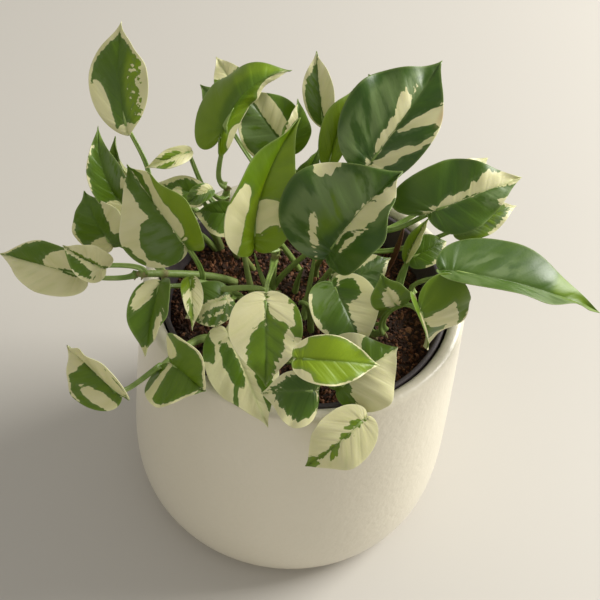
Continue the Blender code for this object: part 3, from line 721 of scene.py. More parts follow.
        ((18, 26, 118), (22, 24, 142), (28, 22, 160), (30, 22, 176)),
        leaf(1, (21, 25, 205), (52, 71, 239.6), (0.1, -0.75, 0.65), (27, 19), 0.12,
             (("cream", 0.34, -0.08, 0.3, 0.09, LEFT, -5), ("cream", 0.52, -0.2, 0.13, 0.06, LEFT, -14),
              ("cream", 0.16, 0.34, 0.26, 0.13, RIGHT, 30), ("cream", 0.36, 0.8, 0.22, 0.1, RIGHT, 34),
              ("cream", 0.6, 0.66, 0.24, 0.15, RIGHT, 30), ("cream edge", 0.4, 0.68, 0.9, RIGHT),
              ("frost", 0.3, -0.5, 0.4, 0.3), ("frost", 0.66, -0.2, 0.2, 0.2),
              ("brown", 0.66, 0.84, 0.1, 0.1)),
             ragged=0.9, fold=(8, 35), wide=0.4, lobe=0.08),
        leaf(0.7, (8, -15, 186), (37, 9, 222), (0.05, -0.75, 0.65), (33, 26), 0.14,
             (("cream", 0.42, 0.1, 0.28, 0.16, RIGHT), ("cream", 0.7, 0.3, 0.3, 0.16, RIGHT, -4),
              ("cream", 0.3, 0.36, 0.2, 0.07, RIGHT, 14), ("cream", 0.66, -0.82, 0.16, 0.2, LEFT, -20),
              ("frost", 0.3, -0.6, 0.4, 0.24), ("frost", 0.55, -0.25, 0.25, 0.3),
              ("frost", 0.04, -0.5, 0.14, 0.4),
              ("frost", 0.75, 0.45, 0.3, 0.3, RIGHT), ("cream", 0.1, -0.3, 0.17, 0.045, LEFT, -38),
              ("green", 0.26, 0.16, 0.1, 0.1, RIGHT, 10), ("lime", 0.4, -0.3, 0.3, 0.2, LEFT)),
             ragged=1, fold=(0, 62), sweep=-3, lobe=(0.14, 0.06), wide=0.36),
        leaf(0.9, (29, 68, 204), (19, 84, 218), (0, -0.6, 0.8), 16, 0.7),
        leaf(0.95, (52, 7, 200), (94, 26, 212), (0, -0.65, 0.75), (20, 15), 0.25,
             (("cream", 0.4, -0.07, 0.42, 0.13, LEFT, -4), ("cream", 0.66, -0.22, 0.24, 0.22, LEFT, -12),
              ("cream", 0.88, -0.05, 0.2, 0.14), ("cream", 0.8, 0.7, 0.14, 0.22, RIGHT, 30),
              ("green", 0.86, -0.6, 0.2, 0.3, LEFT), ("frost", 0.66, 0.3, 0.2, 0.3)),
             ragged=0.8, fold=8, lobe=(0.36, 0.04), wide=0.3),
        leaf(0.8, (66, 41, 186), (83, 57, 196), (0, -0.6, 0.8), 16, 0.9, (("cream", 0.6, 0, 0.6, 1.2),)),
        leaf(0.6, (69, 18, 182), (98, 33, 188), (0, -0.6, 0.8), 18, 0.7,
             (("frost", 0.4, 0.2, 0.6, 0.6), ("cream edge", 0.4, 1, 1.2, BOTH))),
    ),
    "east": (
        ((34, 4, 118), (40, 0, 138), (46, -4, 152), (52, -10, 162)),
        leaf(1, (59, -18, 190), (140, -13, 168), (0, -0.1, 1), 40, 0.22,
             (("frost", 0.4, 0.45, 0.6, 0.6, RIGHT), ("frost", 0.3, -0.3, 0.2, 0.3, LEFT),
              ("lime", 0.95, 0, 0.3, 1.2)),
             fold=(20, 40), arch=5, lobe=0.06, wide=0.34),
        leaf(0.6, (49, 8, 168), (67, 22, 169), (0, -0.6, 0.8),
             16, 0.4, (("cream edge", 0.2, 1, 1.2, RIGHT),)),
        leaf(0.7, (47, 5, 168), (55, 16, 190), (-0.3, -0.6, 0.7), 9, 0.8,
             (("cream", 0.5, 0.5, 0.7, 0.6, RIGHT),), fold=45, lobe=0, wide=0.45),
    ),
    "southeast": (
        ((22, -16, 118), (28, -18, 134), (34, -22, 144), (40, -26, 151)),
        leaf(1, (51, -37, 184), (57, -39, 160), (0.35, -0.6, 0.75), (27, 9), 0.62,
             (("cream", 0.14, -0.34, 0.4, 0.34, LEFT), ("cream", 0.55, -0.5, 0.4, 0.12, LEFT, 12),
              ("cream", 0.95, -0.2, 0.24, 0.6), ("frost", 0.6, -0.2, 0.3, 0.16, LEFT),
              ("green", -0.1, -0.3, 0.34, 0.7, LEFT),
              ("cream edge", 0.6, 1, 0.9, LEFT), ("cream", 0.5, 0.4, 0.5, 0.4, RIGHT)),
             wing=0.5, fold=(5, 60), lobe=0.42, wide=0.4),
        leaf(0.75, (42, -32, 178), (32, -29, 195), (-0.3, -0.6, 0.7), 18, 0.55,
             (("cream", 0.35, 0, 0.32, 0.4),), lobe=0.05, wide=0.45),
        leaf(0.35, (16, -4, 152), (41, 17, 158), (0, -0.5, 0.8), 22, 0.25,
             (("cream", 0.5, -0.6, 0.5, 0.3, LEFT), ("frost", 0.4, 0.2, 0.5, 0.5),
              ("cream edge", 0, 1, 1, RIGHT))),
        leaf(0.55, (12, -17, 172), (30, -45, 157), (0.1, -0.6, 0.8), 32, 0.3,
             (("cream", 0.45, -0.62, 0.8, 0.55, LEFT), ("green", 0.2, -0.3, 0.16, 0.32, LEFT),
              ("cream edge", 0.1, 0.9, 1.6, RIGHT), ("frost", 0.1, 0.5, 0.3, 0.5)), ragged=0.8, wide=0.4),
    ),
    "front": (
        ((2, -32, 118), (4, -38, 140), (8, -46, 151), (14, -52, 155)),
        leaf(0.4, (-34, -41, 158), (-9, -90, 155), (0, -0.3, 0.95), 32, 0.35,
             (("cream", 0.5, 0, 1, 1.6), ("green", 0.36, 0.26, 0.24, 0.22),
              ("green", 0, 0.8, 0.3, 0.3, RIGHT), ("green", 0.62, -0.42, 0.46, 0.2, LEFT, 3),
              ("green", 0.12, -0.6, 0.2, 0.34, LEFT), ("green", 0.66, 0.5, 0.12, 0.08, BOTH, 20)),
             ragged=0.5, fold=3, arch=1, wide=0.4),
        leaf(0.7, (10, -74, 164), (-14, -78, 163), (0, -0.5, 0.85), (16, 9), 0.25,
             (("cream edge", 0, 0.95, 3.4, LEFT), ("cream edge", 0, 1, 1.5, RIGHT)),
             ragged=1, fold=(-5, 22), wide=0.4),
        leaf(0.5, (-1, -71, 181), (36, -63, 173), (0, -0.55, 0.85), 22, 0.95,
             (("cream edge", 0, 1, 0.35, BOTH), ("cream", 0.02, 0.8, 0.18, 0.4, RIGHT),
              ("cream", 0, -0.75, 0.13, 0.36, LEFT), ("cream edge", 0.1, 0.6, 0.8, RIGHT)),
             ragged=0.2, lobe=0.08, wide=0.36),
        leaf(0.9, (19, -68, 158), (44, -51, 172), (0, -0.4, 0.9), 38, 0.45,
             (("cream", 0.74, 0.62, 0.66, 0.9, RIGHT), ("cream", 0.5, -0.6, 0.4, 0.5, LEFT),
              ("cream", 0.12, -0.4, 0.18, 0.3), ("green", 0.36, -0.42, 0.1, 0.24, LEFT),
              ("cream edge", 0.3, 1, 1, LEFT), ("green", 0.84, -0.3, 0.3, 0.4, LEFT)),
             ragged=0.8, fold=(8, 5), curl=(5, 40), wide=0.4),
        leaf(1, (33, -78, 155), (9, -94, 134), (0, -0.8, 0.55), 27, 0.75,
             (("cream", 0.5, 0, 1, 1.5), ("green", 0.66, 0, 0.26, 0.09),
              ("green", 0.18, 0.12, 0.14, 0.12, BOTH, 24), ("green", 0.34, 0.05, 0.08, 0.1, BOTH, 30),
              ("green", 0.6, -0.2, 0.06, 0.14, BOTH, -30), ("green", 0.92, 0.02, 0.16, 0.24)),
             ragged=0.8, lobe=0.1, wide=0.4),
    ),
}


def unit(vectors):
    return vectors / np.linalg.norm(vectors, axis=-1, keepdims=True)


def square_to(along, towards):
    """The direction square to along that leans most towards the other one."""
    return unit(towards - along * (along * towards).sum(-1, keepdims=True))


def bezier(points, t):
    """Points at each t of the Bezier curve with these control points."""
    t = np.asarray(t, float)[..., None]
    points = [np.asarray(point, float) for point in points]
    while len(points) > 1:
        points = [a + (b - a) * t for a, b in zip(points, points[1:])]
    return points[0]


def outline(s, lobe, wide):
    """(along, across) of the margin at s: from the notch at 0, round the lobe, to the tip at 1."""
    lobe_handles = [(0, 0), (-lobe, 0.12), (0.3 * wide - 1.6 * lobe, 1), (wide, 1)]
    side_handles = [(wide, 1), (wide + 0.28, 1), (0.82, 0.16), (1, 0)]
    round_lobe = bezier(lobe_handles, np.clip(s / LOBE_SHARE, 0, 1))
    to_tip = bezier(side_handles, np.clip((s - LOBE_SHARE) / (1 - LOBE_SHARE), 0, 1))
    return np.where((s < LOBE_SHARE)[..., None], round_lobe, to_tip)


class Blade:
    """A heart-shaped blade, bowed along its midrib and folded along it like an open book."""

    def __init__(self, base, tip, face, width, fold=12, curl=10, arch=4, sweep=0, twist=0,
                 lobe=0.12, wide=0.34):
        self.base = np.array(base, float)
        self.run = np.array(tip, float) - self.base
        self.length = np.linalg.norm(self.run)
        along = self.run / self.length
        self.face = square_to(along, np.array(face, float))
        self.side = np.cross(along, self.face)
        self.half = width if isinstance(width, tuple) else (width / 2, width / 2)
        self.fold = fold if isinstance(fold, tuple) else (fold, fold)
        self.curl = curl if isinstance(curl, tuple) else (curl, curl)
        self.arch, self.sweep, self.twist = arch, sweep, twist
        self.lobe = lobe if isinstance(lobe, tuple) else (lobe, lobe)
        self.wide = wide

    def midrib(self, u):
        """Place, side and face directions on the midrib, u from 0 at the stalk to 1 at the tip."""
        u = np.asarray(u, float)[..., None]
        w = np.maximum(u, 0)
        bow = 4 * w * (1 - w) + 4 * np.minimum(u, 0)
        slope = 4 * (1 - 2 * w)
        lean = self.face * self.arch + self.side * self.sweep
        place = self.base + self.run * u + lean * bow
        along = unit(self.run + lean * slope)
        face = square_to(along, self.face)
        side = np.cross(along, face)
        angle = np.radians(self.twist * (w - 0.3))
        return (
            place,
            side * np.cos(angle) + face * np.sin(angle),
            face * np.cos(angle) - side * np.sin(angle),
        )

    def flat(self, s, t):
        """(along, across, share of the widest half) of the blade laid flat."""
        edges = [outline(s, lobe, self.wide) for lobe in self.lobe]
        edge = np.where((t < 0)[..., None], *edges)
        tail = LOBE_RIB + (1 - LOBE_RIB) * (s - LOBE_SHARE) / (1 - LOBE_SHARE)
        start = np.where(s > LOBE_SHARE, tail, LOBE_RIB / LOBE_SHARE * s)
        u = start + np.abs(t) * (edge[..., 0] - start)
        return u, np.abs(t) * edge[..., 1], edge[..., 1]

    def points(self, s, t):
        """Points of the blade: s along the margin, and t from -1 to 1 across."""
        u, reach, _ = self.flat(s, t)
        left = t < 0
        half, fold, curl = (
            np.where(left, pair[0], pair[1]) for pair in (self.half, self.fold, self.curl)
        )
        first = np.radians(fold)
        last = first - np.radians(curl) * reach
        middle = ((first + last) / 2)[..., None]
        place, side, face = self.midrib(u)
        out = (reach * half)[..., None]
        sign = np.where(left, -1.0, 1.0)[..., None]
        return place + side * out * np.cos(middle) * sign + face * out * np.sin(middle)


def surface_normals(grid):
    """Normals of a grid of points whose rows run to the tip and whose columns run left to right."""
    down = np.gradient(grid, axis=0)
    over = np.gradient(grid, axis=1)
    return unit(np.cross(over, down) + 1e-12)


def painted(blade, zones, u, across, margin, tone, ragged):
    """The blade's paint: how deep each point is in cream or green, and its other shades."""
    shades = {name: np.zeros_like(u) for name in ("frost", "fleck", "lime", "deep", "brown")}
    cream = np.full_like(u, ALL_GREEN)
    for kind, *shape in zones:
        if kind.endswith("edge"):
            first, last, depth, side = shape
            inside = depth - margin
            inside = np.minimum(inside, np.minimum(u - first, last - u) * blade.length + 0.4)
        else:
            along, over, long, wide = shape[:4]
            side, turn = (*shape[4:], *(BOTH, 0)[len(shape) - 4:])
            half = np.where(across < 0, blade.half[0], blade.half[1])
            dx = (u - along) * blade.length
            dy = (across - over) * half
            angle = math.radians(turn)
            a = (dx * math.cos(angle) + dy * math.sin(angle)) / (long * blade.length)
            b = (dy * math.cos(angle) - dx * math.sin(angle)) / (wide * half)
            inside = (1 - np.hypot(a, b)) * np.minimum(long * blade.length, wide * half)
        if kind == "fleck":
            cream = np.where(inside > 0, np.maximum(cream, FLECK_DEPTH), cream)
        if side:
            inside = np.minimum(inside, side * across * max(blade.half))
        if kind in ("cream", "cream edge"):
            cream = np.maximum(cream, inside)
        elif kind in ("green", "green edge"):
            cream = np.minimum(cream, -inside)
        else:
            shades[kind] = np.maximum(shades[kind], np.clip(inside / 3 + 0.35, 0, 1))
    shades["ragged"] = np.full_like(u, ragged)
    # A thin lighter line along the blade's margin: painted rim light.
    shades["edge"] = np.clip(1 - margin / PAINTED_RIM_WIDTH, 0, 1)
    shades["tone"] = np.clip(tone + 0.45 * shades.pop("lime") - 0.3 * shades.pop("deep"), 0, 1)
    return {"cream": np.clip(cream, ALL_GREEN, -ALL_GREEN), **shades}


def blade_mesh(blade, zones, tone, ragged, seed):
    """Points, faces, and per-point paint and pattern places of a blade's two skins."""
    draw = np.random.default_rng(seed)
    t = np.array([-x for x in reversed(BLADE_SPLITS)] + [0.0] + list(BLADE_SPLITS))
    rows = np.linspace(0, 1, BLADE_ROWS + 2)[1:-1]
    s, t = np.meshgrid(rows, t, indexing="ij")
    u, reach, edge = blade.flat(s, t)
    grid = blade.points(s, t)
    normal = surface_normals(grid)
    left = t < 0
    phase = np.where(left, *draw.uniform(0, math.tau, 2))
    beats = np.where(left, *draw.uniform(2.0, 3.6, 2))
    half = np.where(left, *blade.half)
    size = half / 16
    ripple = np.sin(math.tau * beats * s + phase) * np.abs(t) ** 2.2 * np.sin(math.pi * s) ** 0.5
    buckle = np.sin(math.tau * beats * 0.7 * s + phase * 2) * np.sin(math.pi * np.abs(t)) * 0.5
    quilt = np.cos(math.tau * SIDE_VEINS * s) * np.sin(math.pi * np.abs(t) ** 0.8) * 0.1
    grid = grid + normal * ((ripple + buckle + quilt) * size)[..., None]
    normal = surface_normals(grid)
    across_mm = reach * half
    groove = np.exp(-((across_mm / GROOVE_WIDTH) ** 2)) * np.clip(1.2 - u, 0.1, 1)
    rib = np.exp(-((across_mm / RIB_WIDTH) ** 2)) * np.clip(1.1 - u, 0.05, 1)
    thick = BLADE_THICKNESS / 2 * (1 - MARGIN_THINNING * np.abs(t))
    top = grid + normal * (thick - GROOVE_DEPTH * groove)[..., None]
    bottom = grid - normal * (thick + RIB_HEIGHT * rib)[..., None]
    ends = [blade.points(np.array([x]), np.array([0.0])) for x in (0.0, 1.0)]
    points = np.concatenate([top.reshape(-1, 3), bottom.reshape(-1, 3), *ends])
    count, columns = top.shape[0] * top.shape[1], top.shape[1]
    notch, tip = 2 * count, 2 * count + 1
    last = count - columns
    faces = []
    for i in range(top.shape[0] - 1):
        a, b = i * columns, (i + 1) * columns
        for j in range(columns - 1):
            faces.append((a + j, a + j + 1, b + j + 1, b + j))
            faces.append((count + a + j, count + b + j, count + b + j + 1, count + a + j + 1))
        right_a, right_b = a + columns - 1, b + columns - 1
        faces.append((a, b, count + b, count + a))
        faces.append((right_a, count + right_a, count + right_b, right_b))
    for j in range(columns - 1):
        faces.append((notch, j + 1, j))
        faces.append((notch, count + j, count + j + 1))
        faces.append((last + j, last + j + 1, tip))
        faces.append((count + last + j, tip, count + last + j + 1))
    faces += [(notch, 0, count), (notch, count + columns - 1, columns - 1)]
    faces += [(last, tip, count + last), (last + columns - 1, count + last + columns - 1, tip)]
    across = reach * np.sign(t)
    margin = (edge - reach) * half
    paint = painted(blade, zones, u, across, margin, tone, ragged)
    paint["rib"] = np.exp(-((across_mm / 0.8) ** 2))
    paint = {name: np.concatenate([v.ravel(), v.ravel(), v.ravel()[:1], v.ravel()[-1:]])
             for name, v in paint.items()}
    paint["under"] = np.concatenate([np.zeros(count), np.ones(count), [0.5, 0.5]])
    paint["seed"] = seed * SEED_STEP
    veins = np.stack([s.ravel(), 0.5 + 0.49 * t.ravel()], 1)
    veins = np.concatenate([veins, veins, [[0, 0.5], [1, 0.5]]])
    return points, faces, paint, veins


def tube_mesh(path, radii, sides, up, shape=None):
    """Points and faces of a closed tube along a path; shape scales its radius by ring and angle."""
    path = np.asarray(path, float)
    along = unit(np.gradient(path, axis=0))
    first = square_to(along, np.asarray(up, float))
    second = np.cross(along, first)
    angles = np.arange(sides) * math.tau / sides
    reach = np.asarray(radii, float)[:, None] * np.ones(sides)
    if shape is not None:
        reach = reach * shape
    ring = first[:, None] * np.cos(angles)[None, :, None] + second[:, None] * np.sin(angles)[None, :, None]
    points = (path[:, None] + ring * reach[..., None]).reshape(-1, 3)
    points = np.concatenate([points, path[:1], path[-1:]])
    rings = len(path)
    faces = []
    for i in range(rings - 1):
        for k in range(sides):
            j = (k + 1) % sides
            faces.append((i * sides + k, i * sides + j, (i + 1) * sides + j, (i + 1) * sides + k))
    low, high = rings * sides, rings * sides + 1
    end = (rings - 1) * sides
    for k in range(sides):
        j = (k + 1) % sides
        faces.append((low, j, k))
        faces.append((high, end + k, end + j))
    return points, faces


def round_angles(sides):
    """Angles round a tube, from 0 on its upper side to pi or -pi below."""
    angle = np.arange(sides) * math.tau / sides
    return np.where(angle > math.pi, angle - math.tau, angle)


def stem_radius(share):
    return STEM_RADIUS * (1 - STEM_TAPER * share)


def stem_place(path, share):
    """A point on the stem's middle line and the stem's direction there."""
    ahead, behind = bezier(path, min(share + 0.02, 1)), bezier(path, share - 0.02)
    return bezier(path, share), unit(ahead - behind)


def stalk_path(path, share, blade):
    """The stalk's middle line, out of the stem's side, up to the blade and on under its midrib."""
    at, along = stem_place(path, share)
    out = square_to(along, blade.base - at)
    start = at + out * (stem_radius(share) - 1.2)
    end, _, face = (v[0] for v in blade.midrib(np.array([0.1])))
    rib = unit(end - blade.base)
    end = end - face * 0.5
    reach = np.linalg.norm(end - start)
    handles = [start, start + out * 0.25 * reach, end - rib * 0.3 * reach - face * 0.25 * reach, end]
    line = bezier(handles, np.linspace(0, 1, STALK_RINGS))
    under = np.array([0.14, 0.18, 0.23, 0.28])
    place, _, face = blade.midrib(under)
    return np.concatenate([line, place - face * 0.45])


def stalk_mesh(path, share, blade, wing):
    """A grooved stalk, wider where it clasps the stem and again where the blade is hinged on it."""
    line = stalk_path(path, share, blade)
    p = np.linspace(0, 1, len(line))
    radii = STALK_RADIUS * (1 - 0.25 * p)
    radii = radii * (1 + 0.5 * np.exp(-((p / 0.12) ** 2)) + 0.18 * np.exp(-(((p - 0.84) / 0.06) ** 2)))
    radii[-4:] *= (0.85, 0.65, 0.45, 0.2)
    angle = round_angles(STALK_SIDES)
    groove = np.exp(-((angle / 0.5) ** 2))[None]
    lips = np.exp(-(((np.abs(angle) - 0.95) / 0.33) ** 2))[None]
    fade = np.clip((0.88 - p) / 0.2, 0, 1)[:, None]
    shape = 1 - 0.42 * groove * fade + lips * fade * (0.12 + wing * np.clip(1.15 - p, 0.3, 1)[:, None])
    middle = line[len(line) // 2] - (line[0] + line[-1]) / 2
    up = unit(blade.face * 0.8 + np.array([0, 0, 0.6]) + middle * 0.01)
    return tube_mesh(line, radii, STALK_SIDES, up, shape)


def plant_mesh(name, parts):
    """Joins parts in millimetres, each of points, faces, its paint and its places for the veins' map."""
    points = np.concatenate([part[0] for part in parts])
    faces, first = [], 0
    for part in parts:
        faces += [tuple(first + corner for corner in face) for face in part[1]]
        first += len(part[0])
    mesh = bpy.data.meshes.new(name)
    mesh.from_pydata((points * MM).tolist(), [], faces)
    names = sorted({key for part in parts for key in part[2]})
    for key in names:
        values = [np.broadcast_to(part[2].get(key, 0.0), len(part[0])) for part in parts]
        attribute = mesh.attributes.new(key, "FLOAT", "POINT")
        attribute.data.foreach_set("value", np.concatenate(values).astype(np.float32))
    places = np.concatenate([np.broadcast_to(part[3], (len(part[0]), 2)) for part in parts])
    corners = np.zeros(len(mesh.loops), np.int32)
    mesh.loops.foreach_get("vertex_index", corners)
    layer = mesh.uv_layers.new(name="veins")
    layer.uv.foreach_set("vector", places[corners].astype(np.float32).ravel())
    mesh.shade_smooth()
    mesh.validate()
    return mesh


def leaf_finish():
    """Waxy leaf: greens from deep to lime, cream sectors ragged along the veins, paler beneath."""
    leaf = Finish("variegated_leaf", IOR=1.38, Coat_Roughness=0.24, Subsurface_Weight=0.10)
    leaf.shader.inputs["Subsurface Radius"].default_value = (0.9, 1.0, 0.3)
    leaf.shader.inputs["Subsurface Scale"].default_value = 0.0012
    place = leaf.node("ShaderNodeTexCoord").outputs["Object"]
    veins = leaf.node("ShaderNodeUVMap", {"uv_map": "veins"}).outputs[0]
    split = leaf.node("ShaderNodeSeparateXYZ", None, {0: veins})
    along, over = Field(leaf, split.outputs[0]), Field(leaf, split.outputs[1])
    out = abs(over - 0.5) * 2.04
    cream, frost, fleck = (leaf.attribute(name) for name in ("cream", "frost", "fleck"))
    tone, under, rib, stalk = (leaf.attribute(name) for name in ("tone", "under", "rib", "stalk"))
    brown, seed, ragged = (leaf.attribute(name) for name in ("brown", "seed", "ragged"))
    margin = leaf.attribute("edge")
    side = over.step(0.49, 0.51) * 3.0 + seed

    def streaks(across_veins, along_veins, detail):
        """Noise drawn out along the side veins."""
        inputs = {0: along * across_veins, 1: out * along_veins, 2: side}
        return leaf.noise(leaf.node("ShaderNodeCombineXYZ", None, inputs).outputs[0], 1.0, detail)

    teeth = streaks(24.0, 2.4, 3.0)
    broad = streaks(8.0, 1.5, 2.0)
    fine = leaf.noise(place, 900.0, 2.0)
    spots = leaf.noise(place, 420.0, 3.0)
    torn = cream + (teeth * 2.6 + broad * 1.6) * ragged + fine * 0.2 + (spots * 7.0 - 0.4) * fleck
    in_cream = torn.step(-0.10, 0.12)
    halo = (torn + spots * 1.4 + teeth).step(-1.7, -0.1) * (1.0 - in_cream)

    shade = (tone + streaks(11.0, 1.0, 2.0) * 0.12 + leaf.noise(place, 60.0, 2.0) * 0.14).max(0.0)
    green = leaf.mix(shade.step(0.0, 0.5), (0.028, 0.080, 0.003), (0.092, 0.172, 0.004))
    green = leaf.mix(shade.step(0.42, 1.0), green, (0.215, 0.320, 0.005))
    # Grey-green patches: partly the leaf's own grey-green, partly painted sheen. The same grey-green also
    # colours the thin halo round cream sectors.
    grey_and_sheen_mask = frost * (streaks(14.0, 1.6, 3.0) * 1.1 + 0.40).step(0.1, 0.5)
    green = leaf.mix(grey_and_sheen_mask.max(halo * 0.4), green, (0.135, 0.205, 0.060))
    # A darker line along the midrib of the lighter greens is painted shade in its groove; on the darkest
    # greens the midrib is paler instead.
    green = leaf.mix(rib * 0.4 * shade.step(0.3, 0.6), green, (0.045, 0.095, 0.006))
    green = leaf.mix(rib * 0.4 * (1.0 - shade.step(0.2, 0.4)), green, (0.14, 0.22, 0.05))
    # Painted rim light: a thin lighter line along the margin, on the green here and on the cream below.
    green = leaf.mix(margin * 0.5, green, (0.24, 0.32, 0.09))

    pale = leaf.mix(broad * 0.5 + 0.5, (0.66, 0.62, 0.31), (0.78, 0.75, 0.45))
    tint = (streaks(18.0, 1.2, 2.0) * 0.9 + 0.15).step(0.0, 0.9) * 0.35
    pale = leaf.mix(tint, pale, (0.47, 0.53, 0.17))
    pale = leaf.mix(rib * 0.35, pale, (0.42, 0.50, 0.16))
    pale = leaf.mix(margin * 0.35, pale, (0.88, 0.86, 0.55))
    colour = leaf.mix(in_cream, green, pale)
    colour = leaf.mix(brown * 0.7, colour, (0.46, 0.20, 0.10))
    beneath = leaf.mix(0.35, colour, (0.36, 0.44, 0.19))
    colour = leaf.mix(under, colour, beneath)
    stem_green = leaf.mix(leaf.noise(place, 120.0).step(-0.4, 0.6), (0.19, 0.30, 0.055), (0.36, 0.46, 0.15))
    colour = leaf.mix(stalk, colour, stem_green)

    vein = (along * (SIDE_VEINS * math.tau)).sine()
    vein = ((vein * 0.5 + 0.5) ** 8.0) * (1.0 - out ** 3.0)
    relief = fine * 0.10 + vein * -0.45 + streaks(30.0, 2.0, 2.0) * 0.35
    roughness = leaf.noise(place, 80.0) * 0.05 + 0.37 + under * 0.15 + shade * 0.08
    wax = (0.26 - shade * 0.4).max(0.05) - under * 0.05
    return leaf.finish(colour, roughness, relief * (1.0 - stalk), 0.00018, **{"Coat Weight": wax})


def stem_finish():
    """Smooth green bark with darker streaks along it, browner and corky at each node."""
    bark = Finish("green_stem", IOR=1.45)
    place = bark.node("ShaderNodeTexCoord").outputs["Object"]
    node_ring = bark.attribute("node")
    low = bark.attribute("low")
    blotches = bark.noise(place, 160.0, 3.0)
    colour = bark.mix(blotches * 0.5 + 0.5, (0.17, 0.27, 0.05), (0.31, 0.40, 0.12))
    colour = bark.mix(node_ring * 0.75, colour, (0.26, 0.20, 0.09))
    colour = bark.mix(low * (blotches * 0.4 + 0.6), colour, (0.20, 0.17, 0.09))
    colour = bark.mix(bark.attribute("dry"), colour, (0.13, 0.055, 0.025))
    height = bark.noise(place, 500.0, 3.0) * 0.6 + node_ring * 0.8
    return bark.finish(colour, blotches * 0.06 + 0.45 + node_ring * 0.2, height, 0.0003)


# Young shoots and bare stalks that rise among the stems: the stem each belongs to, its four guide
# points, its radius at the foot and at the end, and how dry and brown it is.
SHOOTS = (
    ("middle", ((-10, 2, 124), (-16, 0, 134), (-22, 3, 144), (-27, 9, 158)), 2.0, 0.35, 0.0),
    ("middle", ((0, -8, 124), (2, -4, 134), (2, 2, 146), (3, 8, 168)), 1.9, 0.5, 0.0),
    ("middle", ((-30, -6, 124), (-27, 0, 132), (-20, 8, 134), (-6, 14, 124)), 1.6, 1.5, 0.4),
    ("middle", ((6, -14, 124), (4, -10, 140), (4, -14, 152), (-2, -26, 166)), 1.6, 0.9, 0.0),
    ("north", ((6, 24, 124), (2, 22, 140), (6, 14, 156), (12, 2, 176)), 1.7, 1.2, 0.1),
    ("middle_left", ((-38, 8, 124), (-40, 2, 136), (-36, -6, 144), (-30, -14, 152)), 1.8, 0.9, 0.1),
    ("middle", ((-54, -21, 157), (-40, -23, 164), (-26, -23, 170), (-18, -37, 184)), 1.5, 1.1, 0.0),
    ("middle", ((-20, 8, 124), (-15, 12, 138), (-9, 8, 152), (2, 0, 176)), 1.7, 1.1, 0.0),
    ("middle", ((-3, 4, 124), (3, 4, 138), (8, 2, 150), (12, -8, 174)), 1.6, 1.1, 0.0),
    ("middle", ((-24, 2, 124), (-30, 10, 140), (-33, 16, 150), (-38, 24, 166)), 1.7, 0.4, 0.2),
    ("north_left", ((-48, 38, 124), (-54, 34, 138), (-60, 26, 152), (-66, 16, 170)), 1.7, 1.1, 0.0),
    ("north_left", ((-26, 26, 124), (-30, 22, 134), (-36, 22, 146), (-42, 20, 164)), 1.6, 0.4, 0.3),
    ("north", ((-2, 28, 124), (-7, 26, 138), (-12, 20, 152), (-20, 6, 178)), 1.7, 1.1, 0.0),
    ("east", ((24, 4, 124), (28, 2, 142), (32, -6, 150), (40, -14, 166)), 1.4, 0.7, 0.1),
    ("northeast", ((36, 26, 126), (45, 24, 150), (44, 21, 166), (44, 17, 180)), 1.9, 0.5, 1.0),
    ("southeast", ((32, -3, 126), (35, -8, 133), (38, -8, 137), (42, -12, 139)), 1.3, 0.5, 0.0),
    ("middle", ((-5, 12, 124), (-5, 10, 136), (-4, 8, 146), (-2, 5, 156)), 1.7, 0.4, 0.0),
)
SHOOT_SIDES = 12
SHOOT_RINGS = 24
ROOT_NUB_DOWN = (0.25, -0.35, -1.0)
ROOT_NUB_STEPS = (0, 0.8, 1.6, 2.2)
ROOT_NUB_RADII = (0.85, 0.7, 0.45, 0.15)
ROOT_NUB_SIDES = 8


def shoot_part(path, foot, end, dry):
    """One shoot or bare stalk: round at the foot, flattened and grooved above, closed at its end."""
    p = np.linspace(0, 1, SHOOT_RINGS)
    radii = foot + (end - foot) * p**2 + 0.25 * foot * np.exp(-((p / 0.2) ** 2))
    radii[-2:] *= (0.85, 0.5)
    angle = round_angles(SHOOT_SIDES)
    shape = 1 - 0.3 * np.exp(-((angle / 0.6) ** 2))[None] * np.clip(p * 2, 0, 1)[:, None]
    tube = tube_mesh(bezier(path, p), radii, SHOOT_SIDES, (0.2, -0.6, 0.8), shape)
    return *tube, {"dry": dry}, NO_VEINS


def stem_mesh(name, path, leaves, shoots):
    """The stem with its swollen nodes and a root nub at each, and the shoots that rise beside it."""
    share = np.linspace(0, 1, STEM_RINGS)
    line = bezier(path, share)
    length = np.linalg.norm(np.diff(line, axis=0), axis=1).sum()
    nodes = sorted({spec["share"] for spec in leaves})
    ring = sum(np.exp(-(((share - n) * length / NODE_LENGTH) ** 2)) for n in nodes)
    scar = sum(np.exp(-((((share - n) * length + 1.2) / 0.35) ** 2)) for n in nodes)
    radii = stem_radius(share) * (1 + NODE_SWELL * ring + 0.07 * scar)
    radii[-3:] *= (0.9, 0.7, 0.4)
    wide = np.repeat(np.clip(ring + scar, 0, 1), STEM_SIDES)
    low = np.repeat(np.clip(1 - share * 3, 0, 1), STEM_SIDES)
    paint = {"node": np.append(wide, [0, 1]), "low": np.append(low, [1, 0])}
    parts = [(*tube_mesh(line, radii, STEM_SIDES, (0.3, 0.2, 1.0)), paint, NO_VEINS)]
    for n in nodes:
        at, along = stem_place(path, n)
        out = square_to(along, np.array(ROOT_NUB_DOWN))
        nub = [at + out * (stem_radius(n) - 0.6 + k) + along * k * 0.3 for k in ROOT_NUB_STEPS]
        tube = tube_mesh(nub, ROOT_NUB_RADII, ROOT_NUB_SIDES, along + 0.01)
        parts.append((*tube, {"node": 1.0}, NO_VEINS))
    parts += [shoot_part(*shoot) for shoot in shoots]
    return plant_mesh(name, parts)


